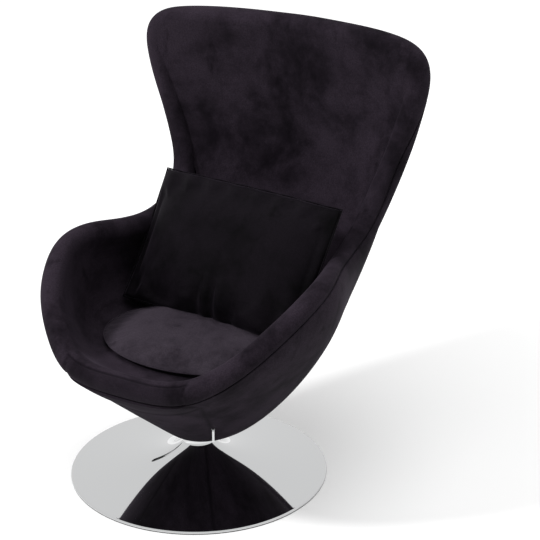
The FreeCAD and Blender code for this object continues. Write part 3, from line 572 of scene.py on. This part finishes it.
NAP = nap_group()
VELVET = velvet_material(
    "charcoal velvet",
    NAP,
    dark=(0.0040, 0.0030, 0.0045),
    light=(0.0265, 0.0200, 0.0283),
    roughness=0.85,
    sheen=0.04,
)
PAD_VELVET = velvet_material(
    "seat pad velvet",
    NAP,
    dark=(0.012, 0.0095, 0.0130),
    light=(0.040, 0.0325, 0.0425),
    roughness=0.85,
    sheen=0.06,
)
PILLOW_VELVET = velvet_material(
    "pillow velvet",
    NAP,
    dark=(0.0006, 0.0005, 0.0007),
    light=(0.0060, 0.0046, 0.0066),
    roughness=0.7,
    sheen=0.08,
)
CHROME = plain_material("polished chrome", (0.57, 0.575, 0.58), 0.03, 1.0)
SATIN_STEEL = plain_material("satin steel", (0.80, 0.80, 0.80), 0.38, 1.0)
BLACK_STEEL = plain_material("black steel", (0.02, 0.02, 0.02), 0.45)
ZINC = plain_material("zinc plated steel", (0.62, 0.62, 0.60), 0.35, 1.0)
BLACK_PLASTIC = plain_material("black plastic", (0.02, 0.02, 0.02), 0.5)
MOULDED = plain_material("moulded shell plastic", (0.008, 0.007, 0.008), 0.7, Specular_IOR_Level=0.1)
RUBBER = plain_material("black rubber", (0.03, 0.03, 0.03), 0.8)
PLYWOOD = plain_material("birch plywood", (0.55, 0.38, 0.22), 0.6)
CAD_FINISHES = {
    "moulded_plastic": MOULDED,
    "plywood": PLYWOOD,
    "black_steel": BLACK_STEEL,
    "zinc_steel": ZINC,
    "bright_metal": CHROME,
    "chrome": CHROME,
    "black_plastic": BLACK_PLASTIC,
    "rubber": RUBBER,
    "velvet": VELVET,
    "cushion_velvet": PILLOW_VELVET,
}


def dress_nodes():
    """Every CAD node takes the finish of its slot; the pieces below replace some of them."""
    for part in frame["record"]["subparts"]:
        node = frame["nodes"][part["node"]]
        node.data.materials.clear()
        node.data.materials.append(CAD_FINISHES[part["material_slot"]])


# Soft pieces of the seat


def panel_seams(points):
    """Distance of outside points from the front panel's seams, seen from the front."""
    x = np.abs(points[..., 0])
    y = points[..., 1]
    z = points[..., 2]
    side = np.abs(x - (PANEL_LOW_HALF - PANEL_SLOPE * (z - PANEL_LOW_Z)))
    side = np.where(z > PANEL_LOW_Z, side, FAR_FROM_SEAM)
    low = np.abs(np.hypot(x, z - PANEL_ARC_Z) - PANEL_ARC_RADIUS)
    low = np.where(x < PANEL_LOW_HALF, low, FAR_FROM_SEAM)
    upper = (PANEL_LOW_HALF - UNDER_HALF) / (PANEL_LOW_Z - UNDER_Z)
    lower = (UNDER_HALF - SHELL_FOOT_RADIUS) / (UNDER_Z - SHELL_FOOT_Z)
    high_half = UNDER_HALF + upper * (z - UNDER_Z)
    low_half = SHELL_FOOT_RADIUS + lower * (z - SHELL_FOOT_Z)
    half = np.where(z > UNDER_Z, high_half, low_half)
    under = np.where(z <= PANEL_LOW_Z, np.abs(x - half), FAR_FROM_SEAM)
    nearest = np.minimum(np.minimum(side, low), under)
    return np.where(y < 0.0, nearest, FAR_FROM_SEAM)


def inside_panel(points):
    """1 inside the front panel's outline, 0 outside it."""
    x = np.abs(points[..., 0])
    z = points[..., 2]
    side = PANEL_LOW_HALF - PANEL_SLOPE * np.maximum(z - PANEL_LOW_Z, 0)
    above = np.hypot(x, z - PANEL_ARC_Z) < PANEL_ARC_RADIUS
    return ((x < side) & above & (points[..., 1] < 0.0)).astype(float)


def outside_cover():
    """The outside fabric: wall rows out to the edge and back behind, grooved at its seams, with
    painted shade in them.
    """
    ribs = seat_ribs(np.arange(COVER_RIBS) / COVER_RIBS)
    outer = outside_wall(ribs, np.linspace(0, 1, COVER_ROWS), 0.0)
    distance = panel_seams(outer)
    seam = np.exp(-(distance / SEAM_WIDTH) ** 2)
    swell = PANEL_SWELL * inside_panel(outer) * (1 - np.exp(-(distance / PANEL_SWELL_REACH) ** 2))
    pucker = PUCKER * np.maximum(smooth_noise(outer, PUCKER_SIZE, PUCKER_SEED), 0)
    rise = np.linspace(0, 1, COVER_ROWS)
    ease = COVER_EASE * np.clip(np.minimum(rise, 1 - rise) / COVER_EASE_SHARE, 0, 1)[:, None]
    lift = ease + swell + pucker - COVER_SEAM_DEPTH * seam
    outer = outer + surface_normals(outer) * lift[..., None]
    inner = outside_wall(ribs, np.linspace(1, 0, COVER_BACK_ROWS), COVER_THICKNESS)
    cover = ring_body("outside_cover", np.concatenate([outer, inner]), "seat", VELVET)
    # Painted shade along the seams, and the front panel's pile lying down darker
    darkening = np.maximum(seam * SEAM_SHADE, PANEL_DARK * inside_panel(outer))
    amounts = np.zeros(len(cover.data.vertices))
    amounts[:darkening.size] = darkening.ravel()
    store_pile_and_seam_shade(cover, amounts)
    cut_slot(cover)
    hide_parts("cover_front", "cover_under", "cover_back")


def slot_corners():
    """Corners of the slit for the lever: a block across the wall along the lever's run."""
    run = LEVER_ROUTE[2] - LEVER_ROUTE[1]
    length = np.linalg.norm(run)
    run = run / length
    swing = np.array((run[2], 0, -run[0]))
    swing *= -np.sign(swing[0])
    start = LEVER_ROUTE[1] + run * (length / 2) - swing * (LEVER_RADIUS + SLOT_MARGIN)
    end = start + run * length
    flat = [start, end, end + swing * SLOT_LENGTH, start + swing * SLOT_LENGTH]
    half = np.array((0, SLOT_WIDTH / 2, 0))
    return np.array([corner - half for corner in flat] + [corner + half for corner in flat])


def cut_slot(piece):
    """Cuts the lever's slit out of a closed piece and removes the cutter."""
    faces = [(0, 1, 2, 3), (7, 6, 5, 4), (0, 4, 5, 1), (1, 5, 6, 2), (2, 6, 7, 3), (3, 7, 4, 0)]
    mesh = bpy.data.meshes.new("slot cutter")
    mesh.from_pydata(slot_corners().tolist(), [], faces)
    cutter = bpy.data.objects.new("slot cutter", mesh)
    bpy.context.scene.collection.objects.link(cutter)
    turn_outwards(cutter)
    cut = piece.modifiers.new("slot", "BOOLEAN")
    cut.object = cutter
    cut.operation = "DIFFERENCE"
    cut.solver = "MANIFOLD"
    apply_modifiers(piece)
    bpy.data.objects.remove(cutter)


def turn_outwards(piece):
    """Turns the faces of a closed piece outwards."""
    shape = bmesh.new()
    shape.from_mesh(piece.data)
    bmesh.ops.recalc_face_normals(shape, faces=shape.faces)
    shape.to_mesh(piece.data)
    shape.free()


def apply_modifiers(piece):
    """Bakes a piece's modifiers into its mesh."""
    bpy.context.view_layer.update()
    evaluated = piece.evaluated_get(bpy.context.evaluated_depsgraph_get())
    finished = bpy.data.meshes.new_from_object(evaluated)
    piece.modifiers.clear()
    piece.data = finished


def store_pile_and_seam_shade(piece, amounts):
    """Writes, 0 to 1, how dark each point of a piece is: painted shade at its seams, and its pile
    lying down on the front panel.
    """
    layer = piece.data.attributes.new("pile_and_seam_shade", "FLOAT", "POINT")
    layer.data.foreach_set("value", np.clip(amounts, 0, 1).astype(np.float32).ravel())


def roll_seams(ribs, rows, angles):
    """Distance of points on the edge roll from the front panel's seams."""
    x = np.abs(rows[..., 0])
    top = np.abs(angles - PANEL_TOP_ANGLE)[:, None] * ROLL_RADIUS
    top = np.where(x < PANEL_TOP_HALF, top, np.hypot(top, x - PANEL_TOP_HALF))
    below = np.maximum(angles - PANEL_TOP_ANGLE, 0)[:, None] * ROLL_RADIUS
    side = np.hypot(x - PANEL_TOP_HALF, below)
    front = ribs["edge"][None, :, 1] < PANEL_BACK_Y
    return np.where(front, np.minimum(top, side), FAR_FROM_SEAM)


def lining_roll(ribs):
    """Rows of the padded edge, grooved at its seams, and how dark it is: painted shade in the seams,
    and the front panel's pile lying down.
    """
    angles = np.linspace(0, np.pi, ROLL_ROWS)
    even = roll_rows(ribs, angles, ROLL_RADIUS)
    at_panel = np.exp(-(roll_seams(ribs, even, angles) / SEAM_WIDTH) ** 2)
    at_cover = np.exp(-(angles * ROLL_RADIUS / SEAM_WIDTH) ** 2)[:, None]
    seam = np.maximum(at_panel, at_cover)
    bumps = ROLL_BUMPS * smooth_noise(even, ROLL_BUMP_SIZE, ROLL_BUMP_SEED) - ROLL_BUMPS / 2
    size = ROLL_RADIUS + bumps * np.sin(angles)[:, None] ** 0.5 - SEAM_DEPTH * seam
    away = roll_rows(ribs, angles, 1.0) - ribs["edge"]
    away /= np.linalg.norm(away, axis=2)[..., None]
    rows = ribs["edge"] + ribs["up"] * LAYER_GAP + away * size[..., None]
    front = (np.abs(ribs["edge"][:, 0]) < PANEL_TOP_HALF) & (ribs["edge"][:, 1] < PANEL_BACK_Y)
    darkening = np.clip((PANEL_TOP_ANGLE - angles)[:, None] / SEAM_SPREAD, 0, 1) * front[None]
    # Painted shade along the seams, and the darker pile of the front panel
    return rows, np.maximum(seam * SEAM_SHADE, darkening * PANEL_DARK)


def lining_wall(ribs):
    """Rows of the padded inside, from the rounded edge down to the deck, softly uneven."""
    share = np.linspace(0, 1, WALL_ROWS)[1:]
    rows = inside_wall(ribs, share)
    ease = np.sin(np.pi * share)[:, None] ** 0.7
    bumps = WALL_BUMPS * smooth_noise(rows, WALL_BUMP_SIZE, WALL_BUMP_SEED) * ease
    return rows + surface_normals(rows, NO_LENGTH) * bumps[..., None]


def rows_to_middle(rim, middle, shares):
    """Rows between a rim and its middle: rim (1 - s) + middle s for each share s."""
    return np.stack([rim * (1 - share) + np.array(middle) * share for share in shares])


def lining():
    """The padded inside and its rounded edge in one skin.

    Its rows run from the underside up the outer side, over the edge and down to the deck.
    """
    ribs = seat_ribs(np.arange(LINING_RIBS) / LINING_RIBS)
    low_z = BOARD_TOP_Z + LAYER_GAP
    outer = outside_wall(ribs, np.linspace(LINING_SIDE_START, 1, LINING_SIDE_ROWS), PADDING_DEPTH)
    outer[..., 2] = np.maximum(outer[..., 2], low_z)
    roll, darkening = lining_roll(ribs)
    wall = lining_wall(ribs)
    deck = rows_to_middle(wall[-1], (0, PAD_CENTRE_Y, DECK_Z), DECK_SHARES)
    under = rows_to_middle(outer[0], (0, PAD_CENTRE_Y, low_z), UNDERSIDE_SHARES)
    rows = np.concatenate([under, outer, roll, wall, deck])
    piece = capped_body("lining", rows, "seat", VELVET)
    first = (len(under) + len(outer)) * rows.shape[1]
    amounts = np.zeros(len(piece.data.vertices))
    # Painted seam shade and the front panel's darker pile, on the edge roll's points
    amounts[first:first + darkening.size] = darkening.ravel()
    store_pile_and_seam_shade(piece, amounts)
    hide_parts("rim_roll", "inner_padding")


def run_cloth(piece, cap, pinned):
    """Swells a closed piece by air pressure, holding pinned points and capping the others."""
    start = mesh_points(piece)
    group = piece.vertex_groups.new(name="held")
    group.add([int(i) for i in np.flatnonzero(pinned)], 1.0, "REPLACE")
    cloth = piece.modifiers.new("swell", "CLOTH")
    settings = cloth.settings
    settings.use_pressure = True
    settings.uniform_pressure_force = AIR_PRESSURE
    settings.effector_weights.gravity = 0
    settings.quality = CLOTH_QUALITY
    settings.tension_stiffness = CLOTH_STRETCH
    settings.compression_stiffness = CLOTH_STRETCH
    settings.bending_stiffness = CLOTH_BENDING
    if pinned.any():
        settings.vertex_group_mass = "held"
    cloth.point_cache.frame_start = 1
    cloth.point_cache.frame_end = CLOTH_FRAMES
    for number in range(1, CLOTH_FRAMES + 1):
        bpy.context.scene.frame_set(number)
    apply_modifiers(piece)
    end = mesh_points(piece)
    move = end - start
    length = np.linalg.norm(move, axis=1)[:, None]
    end = start + move * np.minimum(1.0, cap / np.maximum(length, NO_LENGTH))
    piece.data.vertices.foreach_set("co", end.astype(np.float32).ravel())
    piece.data.update()
    bpy.context.scene.frame_set(1)
    piece.vertex_groups.clear()


def mesh_points(piece):
    """The places of a mesh's points."""
    points = np.empty(len(piece.data.vertices) * 3, dtype=np.float32)
    piece.data.vertices.foreach_get("co", points)
    return points.reshape(-1, 3).astype(float)


def finer(piece):
    """One level of smoothing, the same in the view and in the render."""
    smoother = piece.modifiers.new("smooth", "SUBSURF")
    smoother.levels = 1
    smoother.render_levels = 1


def two_sheets(count_u, count_v):
    """Quads of two sheets of one grid sewn at the border, and the second sheet's numbers."""
    number = np.arange(count_u * count_v).reshape(count_u, count_v)
    second = number + count_u * count_v
    border = np.zeros((count_u, count_v), dtype=bool)
    border[[0, -1]] = True
    border[:, [0, -1]] = True
    second[border] = number[border]
    used = np.unique(np.concatenate([number.ravel(), second.ravel()]))
    packed = np.full(2 * count_u * count_v, -1)
    packed[used] = np.arange(len(used))
    second = packed[second]
    quads = grid_faces(count_u, count_v, False, False)
    return quads[:, ::-1], second.ravel()[quads], used


def border_loop(count_u, count_v):
    """Numbers of a grid's border points, once round."""
    number = np.arange(count_u * count_v).reshape(count_u, count_v)
    return np.concatenate([number[:, 0], number[-1, 1:], number[-2::-1, -1], number[0, -2:0:-1]])


def pillow_frame():
    """The pillow's own axes: across, through its thickness, and up its height."""
    lean = Matrix.Rotation(-PILLOW_LEAN, 3, "X")
    turn = Matrix.Rotation(PILLOW_TURN, 3, "Z")
    return np.array(turn @ lean)


def pillow_folds(u, v):
    """Folds in from the low and high seams: depth sin(wave of u) exp(-((v - seam) / reach)^2)."""
    reach = LOW_FOLD_REACH + LOW_FOLD_REACH_VARIES * np.sin(u * 9 + 1)
    low = LOW_FOLDS * np.sin(u * 21 + 2.2 * np.sin(u * 6)) * np.exp(-((v - LOW_FOLD_AT) / reach) ** 2)
    high = HIGH_FOLDS * np.sin(u * 24 + 1) * np.exp(-((v - HIGH_FOLD_AT) / HIGH_FOLD_REACH) ** 2)
    return (low + high) * (1 - u ** 8)


def pillow():
    """The loose cushion: two sheets, crown ((1-u^4)(1-v^4))^fullness, drawn in, air inside."""
    across = np.linspace(-1, 1, PILLOW_COLUMNS)
    up = np.linspace(-1, 1, PILLOW_ROWS)
    u, v = np.meshgrid(across, up, indexing="ij")
    x = u * (PILLOW_WIDTH / 2 - PILLOW_SIDE_DRAW * (1 - v * v))
    z = v * (PILLOW_HEIGHT / 2 - PILLOW_SIDE_DRAW * (1 - u * u))
    crown = ((1 - u ** 4) * (1 - v ** 4)) ** PILLOW_FULLNESS
    half = PILLOW_THICKNESS / 2 * PILLOW_SLACK * crown
    front = np.stack([x, -half + pillow_folds(u, v), z], axis=-1).reshape(-1, 3)
    back = np.stack([x, half, z], axis=-1).reshape(-1, 3)
    front_quads, back_quads, used = two_sheets(PILLOW_COLUMNS, PILLOW_ROWS)
    points = np.vstack([front, back])[used]
    points = points @ pillow_frame().T + PILLOW_CENTRE
    faces = np.vstack([front_quads, back_quads]).tolist()
    piece = mesh_piece("pillow", points, faces, "cushion", PILLOW_VELVET)
    turn_outwards(piece)
    run_cloth(piece, PILLOW_SWELL_CAP, np.zeros(len(points), dtype=bool))
    seam = mesh_points(piece)[border_loop(PILLOW_COLUMNS, PILLOW_ROWS)]
    piping("pillow_seam", seam, PILLOW_PIPING, "cushion", PILLOW_VELVET)
    finer(piece)
    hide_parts("lumbar_cushion")


def piping(name, loop, radius, body, material):
    """A round cord sewn along a closed seam."""
    ring_body(name, tube_rows(loop, radius, PIPING_SIDES, True), body, material)


def oval_pad():
    """The seat pad: a square grid pulled to an oval, u sqrt(1-v^2/2), v sqrt(1-u^2/2)."""
    share = np.linspace(-1, 1, PAD_GRID)
    u, v = np.meshgrid(share, share, indexing="ij")
    x = u * np.sqrt(1 - v * v / 2)
    y = v * np.sqrt(1 - u * u / 2)
    radius = np.hypot(x, y)
    rise = PAD_HIGH_Z - PAD_LOW_Z
    seam_z = PAD_LOW_Z + PAD_SEAM_SHARE * rise
    top = seam_z + PAD_CROWN_SHARE * rise * np.sqrt(np.clip(1 - radius ** PAD_CROWN_POWER, 0, 1))
    hem = np.clip((radius - PAD_HEM_START) / PAD_HEM_WIDTH, 0, 1)
    low = PAD_LOW_Z + (seam_z - PAD_LOW_Z) * hem ** 2
    across = x * PAD_HALF_WIDTH * PAD_SNUG
    back = PAD_CENTRE_Y + y * PAD_HALF_DEPTH * PAD_SNUG
    upper = np.stack([across, back, top], axis=-1).reshape(-1, 3)
    under = np.stack([across, back, low], axis=-1).reshape(-1, 3)
    top_quads, low_quads, used = two_sheets(PAD_GRID, PAD_GRID)
    points = np.vstack([upper, under])[used]
    faces = np.vstack([top_quads, low_quads]).tolist()
    piece = mesh_piece("oval_pad", points, faces, "seat", PAD_VELVET)
    turn_outwards(piece)
    held = points[:, 2] < seam_z + HELD_MARGIN
    run_cloth(piece, PAD_SWELL_CAP, held)
    seam = mesh_points(piece)[border_loop(PAD_GRID, PAD_GRID)]
    piping("pad_seam", seam, PAD_PIPING, "seat", PAD_VELVET)
    finer(piece)
    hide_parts("seat_pad")


# Rigid pieces seen closely


def trumpet():
    """The chromed base: lip height + share of the rise, falling as radius^-power."""
    flat_radius = BASE_RADIUS - LIP_ROUND
    radius = NECK_RADIUS * (flat_radius / NECK_RADIUS) ** np.linspace(0, 1, TRUMPET_ROWS)
    edge = (NECK_RADIUS / BASE_RADIUS) ** FLARE_POWER
    share = ((NECK_RADIUS / radius) ** FLARE_POWER - edge) / (1 - edge)
    height = BASE_LIP_Z + (NECK_FOOT_Z - BASE_LIP_Z) * share
    outer = np.column_stack([radius, height])
    slope = np.gradient(outer, axis=0)
    slope /= np.linalg.norm(slope, axis=1)[:, None]
    inner = outer + np.column_stack([slope[:, 1], -slope[:, 0]]) * BASE_SHEET
    bend = np.linspace(np.pi / 2, 0, LIP_ROWS)
    lip_top = outer[-1][1] - LIP_ROUND
    lip_radius = flat_radius + LIP_ROUND * np.cos(bend)
    lip = np.column_stack([lip_radius, lip_top + LIP_ROUND * np.sin(bend)])
    low = np.array([
        (BASE_RADIUS, BASE_LOW_Z),
        (BASE_RADIUS - BASE_SHEET, BASE_LOW_Z),
        (BASE_RADIUS - BASE_SHEET, lip_top),
        (flat_radius, outer[-1][1] - BASE_SHEET),
    ])
    neck = np.array([(NECK_RADIUS - BASE_SHEET, NECK_TOP_Z), (NECK_RADIUS, NECK_TOP_Z)])
    profile = np.vstack([outer[:-1], lip, low, inner[-2:0:-1], neck])
    piece = ring_body("trumpet", turned_rows(profile, TRUMPET_SIDES), "base", CHROME)
    piece.data.set_sharp_from_angle(angle=TRUMPET_SHARP_ANGLE)
    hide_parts("trumpet_base")


def turned_rows(profile, sides):
    """Rings of a turned body: (r cos a, r sin a, z) for every (r, z) of the profile."""
    angle = np.linspace(0, 2 * np.pi, sides, endpoint=False)
    r = profile[:, 0][:, None]
    z = np.repeat(profile[:, 1][:, None], sides, axis=1)
    return np.stack([r * np.cos(angle), r * np.sin(angle), z], axis=-1)


def bent_route(route, bend):
    """Points along straight runs joined by arcs of one radius."""
    points = [route[0]]
    for before, corner, after in zip(route[:-2], route[1:-1], route[2:]):
        back = (before - corner) / np.linalg.norm(before - corner)
        ahead = (after - corner) / np.linalg.norm(after - corner)
        half_turn = (np.pi - np.arccos(np.clip(back @ ahead, -1, 1))) / 2
        first = corner + back * bend * np.tan(half_turn)
        middle_way = (back + ahead) / np.linalg.norm(back + ahead)
        centre = corner + middle_way * bend / np.cos(half_turn)
        start = first - centre
        side = -back
        for angle in np.linspace(0, 2 * half_turn, BEND_POINTS):
            points.append(centre + start * np.cos(angle) + side * bend * np.sin(angle))
    points.append(route[-1])
    return np.array(points)


def lever():
    """The lift lever: a bent round rod."""
    rows = tube_rows(bent_route(LEVER_ROUTE, LEVER_BEND), LEVER_RADIUS, LEVER_SIDES, False)
    piece = capped_body("lever", rows, "lever", SATIN_STEEL)
    turn_outwards(piece)
    piece.data.set_sharp_from_angle(angle=LEVER_SHARP_ANGLE)
    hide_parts("lever_rod")


# Setting and light


def paper_material():
    """White paper that also glows, more so far away, but only for the camera and mirrors."""
    glow = {"Specular_IOR_Level": 0.0, "Emission_Color": (1, 1, 1, 1)}
    material = plain_material("white paper", PAPER_COLOR, 0.9, **glow)
    tree = material.node_tree
    sight = seen_directly(tree)
    place = tree.nodes.new("ShaderNodeTexCoord")
    distance = tree.nodes.new("ShaderNodeVectorMath")
    distance.operation = "LENGTH"
    tree.links.new(place.outputs["Object"], distance.inputs[0])
    far = tree.nodes.new("ShaderNodeMapRange")
    far.inputs["From Min"].default_value = GLOW_NEAR
    far.inputs["From Max"].default_value = GLOW_FAR
    far.inputs["To Min"].default_value = PAPER_GLOW
    far.inputs["To Max"].default_value = FAR_GLOW
    tree.links.new(distance.outputs["Value"], far.inputs["Value"])
    lift = tree.nodes.new("ShaderNodeMath")
    lift.operation = "MULTIPLY"
    tree.links.new(far.outputs["Result"], lift.inputs[1])
    tree.links.new(sight, lift.inputs[0])
    tree.links.new(lift.outputs[0], tree.nodes["Principled BSDF"].inputs["Emission Strength"])
    return material


def seen_directly(tree):
    """1 for rays from the camera, off shiny metal or through clear pieces, 0 for light."""
    path = tree.nodes.new("ShaderNodeLightPath")
    most = path.outputs["Is Camera Ray"]
    for name in ("Is Glossy Ray", "Is Transmission Ray"):
        larger = tree.nodes.new("ShaderNodeMath")
        larger.operation = "MAXIMUM"
        tree.links.new(most, larger.inputs[0])
        tree.links.new(path.outputs[name], larger.inputs[1])
        most = larger.outputs[0]
    return most


def floor():
    """A wide round floor of white paper, a fan of rings about the chair."""
    radii = np.geomspace(FLOOR_FIRST_RING, FLOOR_RADIUS, FLOOR_RINGS)
    rows = turned_rows(np.column_stack([radii, np.zeros(FLOOR_RINGS)]), FLOOR_SIDES)
    points = np.vstack([rows.reshape(-1, 3), (0, 0, 0)])
    middle = len(points) - 1
    faces = grid_faces(FLOOR_RINGS, FLOOR_SIDES, False, True).tolist()
    faces += [((index + 1) % FLOOR_SIDES, index, middle) for index in range(FLOOR_SIDES)]
    mesh = bpy.data.meshes.new("paper floor")
    mesh.from_pydata(points.tolist(), [], faces)
    paper = bpy.data.objects.new("paper floor", mesh)
    bpy.context.scene.collection.objects.link(paper)
    turn_outwards(paper)
    mesh.materials.append(paper_material())


def lamp(name, place, target, size, power):
    """A round lamp aimed at a point, which mirrors don't show."""
    light = bpy.data.lights.new(name, "AREA")
    light.shape = "DISK"
    light.size = size
    light.energy = power
    holder = bpy.data.objects.new(name, light)
    holder.location = place
    aim = Vector(target) - Vector(place)
    holder.rotation_euler = aim.to_track_quat("-Z", "Y").to_euler()
    bpy.context.scene.collection.objects.link(holder)
    holder.visible_glossy = False


def lights():
    """Even light from all round, white where the camera or a mirror sees it, and the lamps."""
    world = bpy.data.worlds.new("studio")
    bpy.context.scene.world = world
    world.use_nodes = True
    sky = world.node_tree.nodes["Background"]
    sky.inputs["Color"].default_value = (1, 1, 1, 1)
    level = world.node_tree.nodes.new("ShaderNodeMapRange")
    level.inputs["To Min"].default_value = WORLD_LIGHT
    level.inputs["To Max"].default_value = 1.0
    world.node_tree.links.new(seen_directly(world.node_tree), level.inputs["Value"])
    world.node_tree.links.new(level.outputs["Result"], sky.inputs["Strength"])
    for lamp_values in LAMPS:
        lamp(*lamp_values)


def camera():
    """The photograph's camera."""
    data = bpy.data.cameras.new("camera")
    data.sensor_width = SENSOR_WIDTH
    data.lens = FOCAL_PIXELS * SENSOR_WIDTH / FRAME_WIDTH
    data.clip_end = CLIP_END
    eye = bpy.data.objects.new("camera", data)
    eye.location = CAMERA_PLACE
    eye.rotation_euler = (math.pi / 2 - CAMERA_PITCH, 0, CAMERA_HEADING)
    bpy.context.scene.collection.objects.link(eye)
    bpy.context.scene.camera = eye


dress_nodes()
outside_cover()
lining()
oval_pad()
pillow()
trumpet()
lever()
floor()
lights()
camera()
bpy.context.scene.view_settings.view_transform = "Standard"
